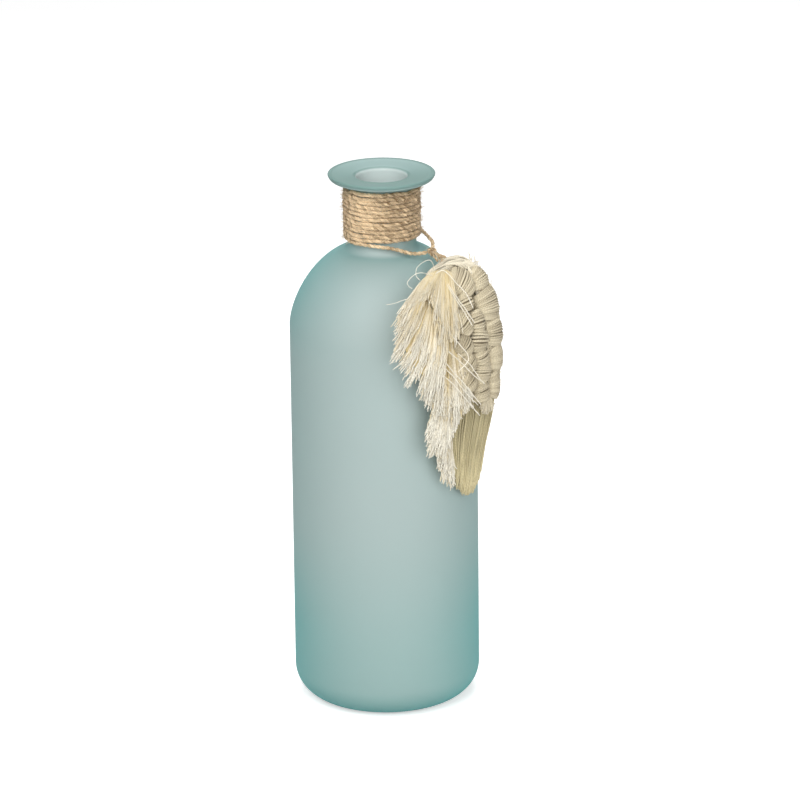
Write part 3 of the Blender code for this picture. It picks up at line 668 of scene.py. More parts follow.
def lay_twine(threads, route, diameter, lay, rng, sides=8, spread=1, plies=3, tone=0.5):
    """Twisted plies along a route (n, 3) in metres, with patches paler and darker than tone."""
    side, other = (value[0] for value in sides_along(route[None]))
    reach = lengths_along(route)
    n = len(route)
    knots = max(4, int(reach[-1] / (PATCH_LENGTH * MM)))
    swell = soft_noise(rng, plies, n, knots) * 0.09
    drift = soft_noise(rng, plies, n, knots) * 0.16
    tone = tone + soft_noise(rng, plies, n, max(4, knots // 2)) * 0.2
    offset, radius = (share * diameter for share in PLY_SHARES[plies])
    paths = []
    for ply in range(plies):
        turn = 2 * pi * (reach / lay + ply / plies) + drift[ply]
        away = (offset * spread * (1 + 0.4 * swell[ply]))[:, None]
        paths.append(route + away * (np.cos(turn)[:, None] * side + np.sin(turn)[:, None] * other))
    threads.add(np.array(paths), radius * (1 + swell), sides, rng.random(plies), reach=tone)


def add_hairs(threads, route, outs, share, full, count, rng, length=(1.5, 4.5)):
    """Loose fibres that leave a twine near its own direction, from a share of its width off its middle."""
    places = route + outs * share * full
    pick = rng.integers(0, len(places), count)
    turn = rng.normal(size=(count, 3))
    lift = 0.1 + 0.6 * rng.random((count, 1)) ** 2
    way = unit(headings(route)[pick] * rng.choice([-1, 1], (count, 1)) + lift * outs[pick] + 0.28 * turn)
    curl = unit(rng.normal(size=(count, 3)) + 0.5 * outs[pick])
    long = rng.uniform(*length, (count, 1, 1)) * MM
    u = np.linspace(0, 1, 5)[None, :, None]
    paths = places[pick][:, None] + long * (way[:, None] * u + curl[:, None] * 0.45 * u ** 2)
    pale = 1.25 - 1.1 * rng.random((count, 1)) ** 2 + 0 * u[..., 0]
    threads.add(paths, HAIR_RADIUS * MM * (1 - 0.5 * u[..., 0]), 3, rng.random(count), reach=pale)


def add_fuzz(threads, t, s, way, rng, points, spread, length, curl, h, radius):
    """Stray ends from places t, s on the wing, that leave about the directions way in radians.

    length is the least and the spread, h where they start, its spread and how far they rise, in mm.
    """
    count = len(t)
    k = np.linspace(0, 1, points)[None]
    way = way + spread * rng.normal(size=count)
    long = (length[0] + length[1] * rng.random(count))[:, None] * k
    bend = (curl * rng.normal(size=count))[:, None] * k ** 2
    rise = (h[0] + h[1] * rng.random(count))[:, None] + h[2] * k
    ends = on_wing(t[:, None] + np.cos(way)[:, None] * long + bend,
                   s[:, None] + np.sin(way)[:, None] * long - bend, rise)
    threads.add(ends, radius * MM, 4, rng.random(count), reach=0.9)


def jute_finish(look):
    finish = Finish("jute_twine_laid")
    grain, shade, reach = finish.thread_values()
    fibre = finish.noise(finish.scaled(grain, (3.2, 3.2, 0.55)), 2.3, 4.0, 0.65)
    streak = finish.noise(finish.scaled(grain, (7.0, 7.0, 0.9)), 2.0)
    patch = finish.noise(grain, 0.35)
    # Painted shade: the colour is darkened in the grooves between the fibres
    painted_groove_shade = finish.rising(fibre, (0.3, 0.5), "LINEAR")
    tone = (fibre - 0.5) * 2.1 + (streak - 0.5) * 1.4 + (patch - 0.5) * 1.2
    # reach brings in each piece's tone, including the winding's painted highlight and shadow
    tone = (tone + (shade - 0.5) * 0.3 + (reach - 0.5) * 1.1 + 0.5).clamped()
    colour = finish.mixed(tone, look.dark, look.pale)
    colour = finish.mixed(1.0, colour, painted_groove_shade * 0.45 + 0.55, "MULTIPLY")
    finish.on_shader(Base_Color=colour, Roughness=0.93, Specular_IOR_Level=0.2, Sheen_Weight=0.25,
                     Sheen_Roughness=0.5, Normal=finish.bump(fibre + streak * 0.5, 0.9, 0.0003))
    return finish.material


def cotton_finish(name, deep, pale, fill=0.0, vary=0.55, tips=None):
    """Twisted cotton, with painted shade: deep in the roots and grooves, pale towards the tips, paler still
    at their ends.
    """
    finish = Finish(name)
    grain, shade, reach = finish.thread_values()
    along = finish.part(grain, 2) * 1.9
    cosine, sine = along.math("COSINE", along), along.math("SINE", along)
    ridge = abs(finish.part(grain, 0) * cosine - finish.part(grain, 1) * sine)
    fine = finish.noise(grain, 3.1, 3.0, 0.6)
    tone = (reach * 0.85 + (shade - 0.5) * vary + (fine - 0.5) * 0.5 + fill).clamped()
    colour = finish.mixed(tone, deep, pale)
    if tips:
        colour = finish.mixed(((reach - 0.95) * 2.0).clamped(), colour, tips)
    # Painted shade in the grooves of the twist
    painted_groove_shade = ((ridge * 0.22 + 0.78) * (fine * 0.16 + 0.92)).clamped()
    colour = finish.mixed(1.0, colour, painted_groove_shade, "MULTIPLY")
    finish.on_shader(Base_Color=colour, Roughness=0.95, Specular_IOR_Level=0.15, Sheen_Weight=0.1,
                     Sheen_Roughness=0.6, Normal=finish.bump(ridge * 0.7 + fine * 0.3, 0.5, 0.0002))
    return finish.material


def glass_finish(look):
    """Frosted glass: deeper where it is seen aslant, with a darker lip, and painted light that makes the
    inside of the mouth pale.
    """
    finish = Finish("frosted_aqua_glass")
    place = finish.node("ShaderNodeTexCoord", {}, {}, 3)
    height = finish.part(place, 2)
    cloud = finish.noise(place, 14.0, 3.0)
    grit = finish.noise(place, 2600.0, 2.0, 0.6)
    tone = (finish.rising(height, TONE_HEIGHTS) + (cloud - 0.5) * 0.12).clamped()
    colour = finish.mixed(tone, look.lower, look.upper)
    slanting = finish.node("ShaderNodeLayerWeight", {}, {"Blend": 0.5}, 1)
    low = finish.rising(height, DEEP_BELOW)
    high = finish.rising(height, DEEP_ABOVE)
    rim = height.math("GREATER_THAN", height, NECK_END_HEIGHT)
    depth = (low * 0.85 + high * (1.0 - rim) * 0.5 + 0.3).clamped()
    colour = finish.mixed(slanting ** 1.3 * depth, colour, look.deep)
    level = finish.scaled(place, (1.0, 1.0, 0.0))
    radius = finish.node("ShaderNodeVectorMath", {"operation": "LENGTH"}, {0: level}, 1)
    near = finish.rising(slanting, (0.56, 0.78))
    ring = (1.0 - abs(radius - MOUTH_RING) / MOUTH_RING_WIDTH).clamped()
    outer = radius.math("GREATER_THAN", radius, LIP_FACE_RADIUS)
    face = outer * ((height - LIP_FACE_HEIGHT) * 1200.0).clamped()
    colour = finish.mixed(rim * (near + ring * 0.9 + face).clamped(), colour, look.lip)
    # Painted light: the inside of the mouth made pale, for light that comes through the glass
    colour = finish.mixed(finish.rising(radius, PAINTED_LIGHT_MOUTH_EDGE) * rim, colour, look.mouth)
    finish.on_shader(Base_Color=colour, Roughness=(grit - 0.5) * 0.08 + look.frost, IOR=1.45,
                     Transmission_Weight=look.clear, Normal=finish.bump(grit, 0.12, 0.00005))
    tint = finish.node("ShaderNodeVolumeAbsorption", {}, {"Color": look.tint, "Density": look.depth})
    finish.join(tint, finish.tree.nodes["Material Output"].inputs["Volume"])
    return finish.material


class VASE_OT_stage(bpy.types.Operator):
    """The camera at the photograph's angle, the floor, the lamps and the room"""

    bl_idname = "vase.stage"
    bl_label = "Stage"

    def execute(self, context):
        look = context.scene.vase_stage
        lens = bpy.data.cameras.new("camera")
        lens.lens = look.focal
        lens.sensor_width = 36.0
        lens.shift_x, lens.shift_y = look.shift
        lens.clip_end = 50.0
        camera = put_in_scene("camera", lens)
        back = Vector((0.0, -cos(look.pitch), sin(look.pitch)))
        turn = (-back).to_track_quat("-Z", "Y").to_matrix().to_4x4() @ Matrix.Rotation(-look.roll, 4, "Z")
        place = Vector((0, 0, look.aim_height)) + back * look.distance
        camera.matrix_world = Matrix.Translation(place) @ turn
        context.scene.camera = camera
        for name, (azimuth, rise, size) in LAMPS.items():
            lamp = bpy.data.lights.new(name + "_lamp", "AREA")
            lamp.shape = "DISK"
            lamp.size = size
            lamp.energy = getattr(look, name)
            a, e = radians(azimuth), radians(rise)
            way = Vector((sin(a) * cos(e), -cos(a) * cos(e), sin(e)))
            aim = way.to_track_quat("Z", "Y").to_matrix().to_4x4()
            place = Vector((0, 0, LAMP_AIM_Z)) + way * LAMP_DISTANCE
            put_in_scene(name + "_lamp", lamp).matrix_world = Matrix.Translation(place) @ aim
        self.floor(look)
        self.room(context, look)
        view = context.scene.view_settings
        view.view_transform = "Standard"
        return {"FINISHED"}

    def floor(self, look):
        turn = round_turn(96)
        x, y = FLOOR_RADIUS * np.cos(turn), FLOOR_RADIUS * np.sin(turn)
        mesh = bpy.data.meshes.new("floor")
        mesh.from_pydata([(a, b, -FLOOR_DROP) for a, b in zip(x, y)], [], [tuple(range(len(turn)))])
        finish = Finish("pale_floor")
        seen = finish.node("ShaderNodeLightPath", {}, {}, "Is Camera Ray")
        glow = finish.mixed(seen, (0.0, 0.0, 0.0), FLOOR_GLOW)
        finish.on_shader(Base_Color=look.floor, Roughness=0.9, Specular_IOR_Level=0.1,
                         Emission_Color=glow, Emission_Strength=1.0)
        mesh.materials.append(finish.material)
        put_in_scene("floor", mesh)

    def room(self, context, look):
        world = bpy.data.worlds.new("room")
        context.scene.world = world
        finish = Finish("room", world)
        camera, gloss, clear = (finish.node("ShaderNodeLightPath", {}, {}, name)
                                for name in ("Is Camera Ray", "Is Glossy Ray", "Is Transmission Ray"))
        level = camera.math("MAXIMUM", camera.math("MAXIMUM", camera, gloss), clear)
        finish.on_shader(Color=(1.0, 1.0, 1.0), Strength=level * (1.0 - look.room) + look.room)


def neck_top():
    """The height of the neck's top, where its fillet starts and the fillet's middle."""
    low, high = radians(50), radians(89)
    for _ in range(40):
        middle = (low + high) / 2
        if shoulder_at(middle)[0] + shoulder_normal(middle)[0] * NECK_FILLET > NECK_RADIUS + NECK_FILLET:
            low = middle
        else:
            high = middle
    r, z = shoulder_at(low)
    nr, nz = shoulder_normal(low)
    centre = (r + nr * NECK_FILLET, z + nz * NECK_FILLET)
    return centre[1] + NECK_HEIGHT, low, centre


def winding_route(look, step=0.6):
    """The winding's line, in metres, with points about one step in mm apart."""
    diameter = look.diameter / MM
    radius = NECK_RADIUS + CORD_GAP + diameter / 2
    top_z = neck_top()[0] - TWINE_LIP_CLEARANCE - diameter / 2
    steps = int(TWINE_TURNS * 2 * pi * radius / step)
    left = TWINE_TURNS * (1 - np.arange(steps + 1) / steps)
    return round_axis(TWINE_END_AZIMUTH - 360 * left, radius, top_z - TWINE_PITCH * (TWINE_TURNS - left))


def slack_routes(look):
    """The points that the two free runs follow, in metres, as the solids do."""
    diameter = look.diameter
    coarse = winding_route(look, 2 * pi * (NECK_RADIUS + CORD_GAP + diameter / MM / 2) / TWINE_CAD_STEPS)
    way = unit(coarse[-1] - coarse[-2])
    start = coarse[-1] + way * (diameter + CORD_GAP * MM)
    knot = on_wing(*KNOT_AT)
    near = (KNOT_RADIUS + CORD_GAP) * MM
    routes = []
    for marks, first in ((FRONT_RUN, [start + way * diameter]), (BACK_RUN, [])):
        marks = np.array(first + [round_axis(*mark) for mark in marks])
        away = unit(marks[-1] - knot)
        smooth = through(np.concatenate([marks, [knot + away * (near + diameter)]]), RUN_STEP * MM)
        routes.append(np.concatenate([smooth, [knot + away * near]]))
    routes[0] = np.concatenate([[start], routes[0]])
    return routes


class VASE_OT_slack_loop(bpy.types.Operator):
    """The twine's two free runs, from the neck to the knot"""

    bl_idname = "vase.slack_loop"
    bl_label = "Slack loop"

    def execute(self, context):
        look = context.scene.vase_twine
        finish = jute_finish(look)
        rng = np.random.default_rng(SEEDS["slack"])
        for name, route in zip(("twine_slack_front", "twine_slack_back"), slack_routes(look)):
            threads = Threads()
            fine = through(route, TWINE_STEP * MM)
            lay_twine(threads, fine, SLACK_FULLNESS * look.diameter, look.lay, rng, plies=2)
            side, other = (value[0] for value in sides_along(fine[None]))
            turn = rng.random((len(fine), 1)) * 2 * pi
            out = side * np.cos(turn) + other * np.sin(turn)
            add_hairs(threads, fine, out, 0.4, look.diameter, SLACK_HAIRS, rng, (0.8, 2.0))
            run = threads.piece(name + "_laid", finish, "vase", [name])
        return {"FINISHED"}


class VASE_OT_winding(bpy.types.Operator):
    """The twine's twelve turns round the neck"""

    bl_idname = "vase.winding"
    bl_label = "Neck winding"

    def execute(self, context):
        look = context.scene.vase_twine
        finish = bpy.data.materials["jute_twine_laid"]
        rng = np.random.default_rng(SEEDS["winding"])
        threads = Threads()
        route = winding_route(look)
        n = len(route)
        out = unit(route * [1, 1, 0])
        uneven = soft_noise(rng, 2, n, UNEVEN_KNOTS)
        # A thin filler behind the grooves, so that no glass shows between the turns, darker than the twine as
        # painted shade
        filler = PACKING_RADIUS * look.diameter
        packing = route - out * filler
        packing[:, 2] += TWINE_PITCH / 2 * MM
        half_turn = round(n / TWINE_TURNS / 2)
        threads.add(packing[half_turn:-half_turn], filler, 5, 0.3, reach=0.3)
        route = route + out * ((look.full - look.diameter) / 2 + uneven[0] * UNEVEN_OUT * MM)[:, None]
        route[:, 2] += uneven[1] * UNEVEN_UP * MM
        first, last = unit(route[0] - route[1]), unit(route[-1] - route[-2])
        reach = np.arange(1, 5)[:, None] / 4 * look.diameter
        route = np.concatenate([route[0] + first * reach[::-1], route, route[-1] + last * reach])
        turn = np.degrees(np.arctan2(route[:, 0], -route[:, 1]))
        height = (route[:, 2] - route[:, 2].min()) / np.ptp(route[:, 2])
        # Painted highlight: paler at the front left, where the key lamp's sheen falls on the twine. Painted
        # shadow: darker at the upper right, under the lip, where the fibres are darker too
        painted_highlight_and_shadow = 0.5 + 0.42 * np.exp(-((turn - HIGHLIGHT_AZIMUTH) / HIGHLIGHT_WIDTH) ** 2)
        painted_highlight_and_shadow = painted_highlight_and_shadow - 0.2 * height ** 3 / (1 + np.exp(-turn / 9))
        lay_twine(threads, route, look.full, look.lay, rng, 7, tone=painted_highlight_and_shadow)
        add_hairs(threads, route, unit(route * [1, 1, 0]), 0.42, look.full, look.hairs, rng)
        threads.piece("twine_winding_laid", finish, "vase", ["twine_winding"])
        return {"FINISHED"}


class VASE_OT_knot(bpy.types.Operator):
    """The twine's overhand knot, its frayed short end and the two legs below it"""

    bl_idname = "vase.knot"
    bl_label = "Twine knot"

    def execute(self, context):
        look = context.scene.vase_twine
        finish = bpy.data.materials["jute_twine_laid"]
        rng = np.random.default_rng(SEEDS["knot"])
        knot = on_wing(*KNOT_AT)
        thin = KNOT_THICKNESS * look.diameter
        self.tie(look, finish, rng, knot, thin)
        self.fray(look, finish, rng, knot, thin)
        for name, foot in LEG_FEET.items():
            threads = Threads()
            low = on_wing(*foot)
            bow = np.array([knot, (knot + low) / 2 - [0.0, LEG_BOW * MM, 0.0], low])
            lay_twine(threads, through(bow, TWINE_STEP * MM), thin, look.lay, rng)
            threads.piece(name + "_laid", finish, "wing", [name])
        return {"FINISHED"}

    def tie(self, look, finish, rng, knot, thin):
        """A trefoil that faces the front, as an overhand knot does when it is drawn up."""
        face = unit(np.array(KNOT_FACE))
        right = unit(np.cross([0, 0, 1.0], face) * -1)
        up = np.cross(face, right) * -1
        u = np.linspace(0, 2 * pi, 130)
        scale = KNOT_SCALE * MM
        across = (np.sin(u) + 2 * np.sin(2 * u)) * scale
        rise = (np.cos(u) - 2 * np.cos(2 * u)) * scale
        depth = -np.sin(3 * u) * KNOT_DEPTH * scale
        route = knot + across[:, None] * right + rise[:, None] * up + depth[:, None] * face
        threads = Threads()
        lay_twine(threads, route, thin, look.lay, rng)
        add_hairs(threads, route, unit(route - knot), 0.3, thin, KNOT_HAIRS, rng, (0.8, 2.4))
        threads.piece("twine_knot_tied", finish, "hanger", ["twine_knot"])

    def fray(self, look, finish, rng, knot, thin):
        """The short end, whose plies open and spray at its tip."""
        route = through(np.array([knot] + [on_wing(*mark) for mark in SHORT_END]), 0.35 * MM)
        open_up = 1 + 1.6 * np.linspace(0, 1, len(route)) ** 3
        threads = Threads()
        lay_twine(threads, route, thin, look.lay, rng, spread=open_up)
        way = unit(route[-1] - route[-4])
        count = SPRAY_HAIRS
        spray = unit(way + 0.45 * rng.normal(size=(count, 3)))
        v = np.linspace(0, 1, 6)[None, :, None]
        start = route[-1] - way * MM * rng.random((count, 1)) * 1.5 + 0.35 * MM * rng.normal(size=(count, 3))
        paths = start[:, None] + spray[:, None] * v * (rng.uniform(*SPRAY_LENGTH, (count, 1, 1)) * MM)
        threads.add(paths, SPRAY_RADIUS * MM, 4, 0.4 + 0.6 * rng.random(count))
        threads.piece("twine_short_end_frayed", finish, "hanger", ["twine_short_end"])


def arc(centre, radius, turns):
    return [(centre[0] + radius * cos(turn), centre[1] + radius * sin(turn)) for turn in turns]


def bottle_profile():
    """The glass's outline from the middle of its foot round to the middle of its floor, as (r, z) in mm."""
    top, leave, centre = neck_top()
    heel = BODY_RADIUS - HEEL_RADIUS
    profile = [(0.0, 0.0), (FOOT_RING, 0.0), (heel - 2.0, 0.0)]
    profile += arc((heel, HEEL_RADIUS), HEEL_RADIUS, np.radians(np.arange(-90, 5, 5)))
    profile += [(BODY_RADIUS, z) for z in (25.0, 50.0, 80.0, 113.0, 145.0, 175.0, 200.0)]
    profile += [tuple(shoulder_at(leave * k / 34)) for k in range(35)]
    start = atan2(shoulder_at(leave)[1] - centre[1], shoulder_at(leave)[0] - centre[0])
    profile += arc(centre, NECK_FILLET, [start + (-pi - start) * k / 8 for k in range(1, 9)])
    profile += [(NECK_RADIUS, centre[1] + 15.0), (NECK_RADIUS, top)]
    flare = LIP_RADIUS - LIP_SLANT - LIP_EDGE / 2 - NECK_RADIUS
    for k in range(1, 15):
        share = (k / 14) ** LIP_FLARE_POWER
        profile.append((NECK_RADIUS + flare * share, top + LIP_RISE * share ** LIP_CURL))
    edge_z = top + LIP_RISE + LIP_EDGE / 2
    for turn in np.radians(np.linspace(-90, 90, 15)[1:]):
        across, up = superellipse(turn, LIP_EDGE_POWER)
        slant = LIP_SLANT * max(0.0, 0.5 - up) / 1.5
        profile.append((LIP_RADIUS - slant - LIP_EDGE / 2 * (1 - across), edge_z + LIP_EDGE / 2 * up))
    lip_top = top + LIP_RISE + LIP_EDGE
    inner = BORE_RADIUS + BORE_EASE
    for share in (0.2, 0.4, 0.6, 0.8):
        r = LIP_RADIUS - LIP_EDGE / 2 + (inner - LIP_RADIUS + LIP_EDGE / 2) * share
        profile.append((r, lip_top - LIP_DISH * share ** 0.8))
    profile += arc((inner, lip_top - LIP_DISH - BORE_EASE), BORE_EASE, np.radians(np.arange(90, 195, 15)))
    profile += [(BORE_RADIUS, (top + centre[1]) / 2), (BORE_RADIUS, centre[1])]
    for k in range(22):
        angle = radians(INNER_SHOULDER_TOP) * (1 - k / 21)
        r, z = shoulder_at(angle)
        nr, nz = shoulder_normal(angle)
        if profile[-1][1] - (z - nz * WALL) > 0.3:
            profile.append((max(r - nr * WALL, BORE_RADIUS), z - nz * WALL))
    profile += [(BODY_RADIUS - WALL, z) for z in (170.0, 120.0, 70.0, 30.0)]
    inside = HEEL_RADIUS - WALL
    turns = [radians(-7.5 * k) for k in range(13)]
    profile += arc((BODY_RADIUS - WALL - inside, FLOOR + inside), inside, turns)
    return profile + [(FOOT_RING, FLOOR), (0.0, FLOOR)]


class VASE_OT_glass(bpy.types.Operator):
    """The frosted glass bottle, turned finely"""

    bl_idname = "vase.glass"
    bl_label = "Glass bottle"

    def execute(self, context):
        look = context.scene.vase_glass
        profile = np.array(bottle_profile(), dtype=float)
        count = look.segments
        body = profile[1:-1]
        rings = round_axis(360 * np.arange(count)[None, :] / count, body[:, :1], body[:, 1:])
        foot, floor = ([[0, 0, z * MM]] for z in (profile[0, 1], profile[-1, 1]))
        points = np.concatenate([foot, rings.reshape(-1, 3), floor])
        pairs = [(k, (k + 1) % count) for k in range(count)]
        faces = [(0, 1 + b, 1 + a) for a, b in pairs]
        for row in range(len(body) - 1):
            low, high = 1 + row * count, 1 + (row + 1) * count
            faces += [(low + a, low + b, high + b, high + a) for a, b in pairs]
        last, hub = 1 + (len(body) - 1) * count, len(points) - 1
        faces += [(last + a, last + b, hub) for a, b in pairs]
        name = "glass_bottle_turned"
        mesh = bpy.data.meshes.new(name)
        mesh.from_pydata([tuple(p) for p in points], [], faces)
        mesh.shade_smooth()
        mesh.set_sharp_from_angle(angle=radians(50))
        place_piece(name, mesh, glass_finish(look), "vase", ["glass_bottle"])
        return {"FINISHED"}


def lump_form(left, right, s, half, share, sides=14, steps=9):
    """A lump's inner form at a share of its size, as rings (n, sides, 3)."""
    middle, reach = (left + right) / 2, (right - left) / 2 * share
    c, d = superellipse(round_turn(sides), LUMP_POWER)
    rings = []
    for k in range(steps):
        side = 0.985 * np.sin((2 * k / (steps - 1) - 1) * pi / 2)
        swell = (1 - abs(side) ** 2.6) ** 0.5 * 0.85 + 0.12
        rings.append(on_wing(middle + reach * side, s + half * share * swell * c,
                             KNOT_LIFT + KNOT_HALF_DEPTH * share * swell * d))
    return np.array(rings)


def spread_ribs(count, sine_share, jitter, rng):
    """Places of ribs from -1 to 1, closer together towards both ends, one at a time."""
    for k in range(count):
        even = (k + 0.5) / count * 2 - 1
        yield ((1 - sine_share) * even + sine_share * sin(even * pi / 2)) * 0.98 + jitter * rng.normal()


def add_ribs(threads, paths, look, thick, rng):
    count = len(paths)
    radii = look.rib * (thick + 0.1 * rng.random((count, 1)))
    threads.add(np.array(paths), radii, RIB_SIDES, rng.random(count), closed=True)


def ribbed_lump(threads, left, right, s, half, slant, look, rng):
    """A wrapped knot: loops side by side, slanted across the lump, over an inner form."""
    middle, reach, high = (left + right) / 2, (right - left) / 2 * LUMP_GROW, half * LUMP_GROW
    lean = radians(slant)
    # The inner form is dark: painted shade between the ribs
    threads.add_form(lump_form(left, right, s, half, 0.96), 0.1, -0.2)
    pile = np.hypot(reach * sin(lean), high * cos(lean))
    run = reach * high / pile
    slip = (reach ** 2 - high ** 2) * sin(lean) * cos(lean) / pile
    count = max(5, round(RIBS_A_PITCH * pile / (look.pitch / MM)))
    c, d = superellipse(round_turn(LOOP_POINTS), LUMP_POWER)
    paths = []
    for q in spread_ribs(count, 0.6, 0.008, rng):
        chord = (1 - abs(q) ** 2.7) ** (1 / 2.3)
        tilt = lean * (1 + 0.4 * q) + radians(1.2) * rng.normal()
        along = run * (0.12 + 0.88 * chord) * (0.98 + 0.03 * rng.normal())
        lift = KNOT_HALF_DEPTH * (0.5 + 0.5 * chord) * (1 + 0.02 * rng.normal())
        e = pile * q + 0.35 * (1 - c ** 2) * np.sign(q)
        t = middle + (along * c - slip * q) * cos(tilt) - e * sin(tilt)
        up = s + (along * c - slip * q) * sin(tilt) + e * cos(tilt)
        paths.append(on_wing(t, up, KNOT_LIFT + lift * d))
    add_ribs(threads, paths, look, 0.96, rng)


def fanned_bundle(threads, left, right, s, half, slant, look, rng):
    """A bundle that fans from the seam at its left round the wing's outer edge."""
    reach, high = (right - left) / 2, half * BUNDLE_GROW
    steep = max(0.0, slant - STEEP_SLANT) / 20
    cut = 3.0 * steep
    # The inner form is dark: painted shade between the loops
    threads.add_form(lump_form(left, right - cut, s - 0.4 * cut, half - 0.25 * cut, 0.95), 0.1, -0.2)
    count = round(2 * high / (BUNDLE_PITCH * look.pitch / MM))
    c, d = superellipse(round_turn(LOOP_POINTS), BUNDLE_POWER)
    out = (c + 1) / 2
    fan = 0.68 + 0.32 * np.sin(out * pi / 2)
    paths = []
    for q in spread_ribs(count, 0.5, 0.005, rng):
        lift = KNOT_HALF_DEPTH * (1.02 - 0.42 * abs(q) ** 3)
        trim = 0.34 * steep * max(0.0, q + 0.25)
        reach_q = 2 * reach * (1.03 - 0.17 * abs(q) ** 3 - trim)
        curl = 0.09 * np.sin(out * pi) * rng.normal()
        t = left - 0.4 + reach_q * out
        rise = (out - 0.5) * np.tan(radians(slant)) * reach * 0.6
        up = s + high * (0.96 - 0.6 * trim) * q * fan + rise + curl
        paths.append(on_wing(t, up, KNOT_LIFT + lift * d))
    add_ribs(threads, paths, look, 0.97, rng)


class VASE_OT_band(bpy.types.Operator):
    """The knotted band: inner knots, middle hitches and outer bundles"""

    bl_idname = "vase.band"
    bl_label = "Knotted band"

    def execute(self, context):
        look = context.scene.vase_cotton
        # deep: the knots' colour darkened, which the inner forms take as painted shade
        deep = [share * value for share, value in zip((0.36, 0.32, 0.27), look.knots)]
        finish = cotton_finish("cotton_knots_twisted", deep, look.knots, fill=0.55)
        rng = np.random.default_rng(SEEDS["band"])
        for word, rows, wrap in (
            ("wing_knot", INNER_KNOTS, ribbed_lump),
            ("wing_hitch", MIDDLE_HITCHES, ribbed_lump),
            ("wing_bundle", OUTER_BUNDLES, fanned_bundle),
        ):
            for row, marks in enumerate(rows, 1):
                threads = Threads()
                wrap(threads, *marks, look, rng)
                name = f"{word}_{row}"
                threads.piece(name + "_wrapped", finish, "wing", [name])
        return {"FINISHED"}


def between_rows(s, rows, column, at=0):
    """A column's values at places s, from rows that go down the wing, with their s in column at."""
    rows = np.asarray(rows, dtype=float)
    return np.interp(-s, -rows[:, at], rows[:, column])


class VASE_OT_cores(bpy.types.Operator):
    """The core cords behind the band, side by side under the lumps"""

    bl_idname = "vase.cores"
    bl_label = "Core cords"

    def execute(self, context):
        finish = bpy.data.materials["cotton_knots_twisted"]
        rng = np.random.default_rng(SEEDS["cores"])
        lift = KNOT_LIFT - KNOT_HALF_DEPTH - COTTON_GAP - CORE_RADIUS
        s = np.linspace(BAND_EDGES[0, 0], CORE_FOOT_S, 110)
        n = len(s)
        left, right = (between_rows(s, BAND_EDGES, j) for j in (1, 2))
        low = s <= CORE_TOP_S
        for place, (name, t) in enumerate(CORE_AT.items()):
            threads = Threads()
            lay_twine(threads, on_wing(t, s[low], lift), 2 * CORE_RADIUS * MM, CORE_LAY * MM, rng)
            for k in range(CORE_STRANDS):
                share = (place * CORE_STRANDS + k + 0.5) / (len(CORE_AT) * CORE_STRANDS)
                across = left + (right - left) * share + 0.2 * soft_noise(rng, 1, n, 9)[0]
                h = (2.6 if share > 0.6 else -0.4) - 0.5 * (k % 2) + 0.2 * soft_noise(rng, 1, n, 9)[0]
                lay_twine(threads, on_wing(across, s, h), STRAND_WIDTH * MM, STRAND_LAY * MM, rng, 5)
            threads.piece(name + "_laid", finish, "wing", [name])
        return {"FINISHED"}


class VASE_OT_crown(bpy.types.Operator):
    """The head's arch of cords, with the slanting cords over it and its frayed right end"""

    bl_idname = "vase.crown"
    bl_label = "Crown"

    def execute(self, context):
        look = context.scene.vase_cotton
        deep = [0.55 * v for v in look.ivory]
        finish = cotton_finish("cotton_crown_twisted", deep, look.crown, fill=0.55)
        rng = np.random.default_rng(SEEDS["crown"])
        threads = Threads()
        self.arch(threads, rng)
        for k in range(SLANTING_CORDS):
            start = np.array([6.6 + 1.6 * k, 37.6 - 0.1 * k, 1.2])
            end = np.array([20.5 + 2.1 * k, 32.2 - 0.1 * k * k, 3.2])
            middle = (start + end) / 2 + [1.0, 0.8, 2.2]
            self.cord(threads, [start, middle, end], SLANTING_WIDTH, SLANTING_LAY, rng)
        for marks, full in CROWN_CORDS:
            self.cord(threads, marks, full, CROWN_CORD_LAY, rng)
        t = FRAY_FROM_T + 5.5 * rng.random(FRAY_HAIRS)
        s = 36.6 - 1.6 * (t - FRAY_FROM_T) + 0.4 * rng.normal(size=FRAY_HAIRS)
        add_fuzz(threads, t, s, radians(48), rng, 7, 0.6, (1.6, 2.6), 0.7, (1.0, 2.0, 1.0), 0.13)
        threads.piece("wing_crown_wrapped", finish, "wing", ["wing_crown"])
        return {"FINISHED"}

    def cord(self, threads, marks, full, lay, rng):
        lay_twine(threads, on_wing(*through(marks, CROWN_STEP).T), full * MM, lay * MM, rng, 6)

    def arch(self, threads, rng):
        """Yarns that wind slowly round the crown's line, over an inner form."""
        route = through(CROWN_ROUTE, CROWN_STEP)
        way = headings(route[:, :2])
        n = len(route)
        u = np.linspace(0, 1, n)
        swell = route[:, 2] * np.clip(0.8 + 4 * u, 0, 1) * np.clip(0.6 + 3 * (1 - u), 0, 1)

        def around(angle, share):
            wide = swell * np.cos(angle) * share
            return on_wing(route[:, 0] - way[:, 1] * wide, route[:, 1] + way[:, 0] * wide,
                           swell * CROWN_DEPTH * np.sin(angle) * share)

        # The inner form is darker than the yarns: painted shade between them
        threads.add_form(np.stack([around(a, 0.8) for a in round_turn(16)], axis=1), 0.15)
        count = CROWN_YARNS
        paths = []
        for k in range(count):
            angle = 2 * pi * k / count + 0.9 * u + 0.12 * soft_noise(rng, 1, n, 8)[0]
            paths.append(around(angle, 0.94 + 0.05 * rng.normal()))
        radii = CROWN_YARN_RADIUS * MM * (0.9 + 0.25 * rng.random((count, 1)))
        threads.add(np.array(paths), radii, 6, rng.random(count), reach=0.5 * rng.random((count, 1)))


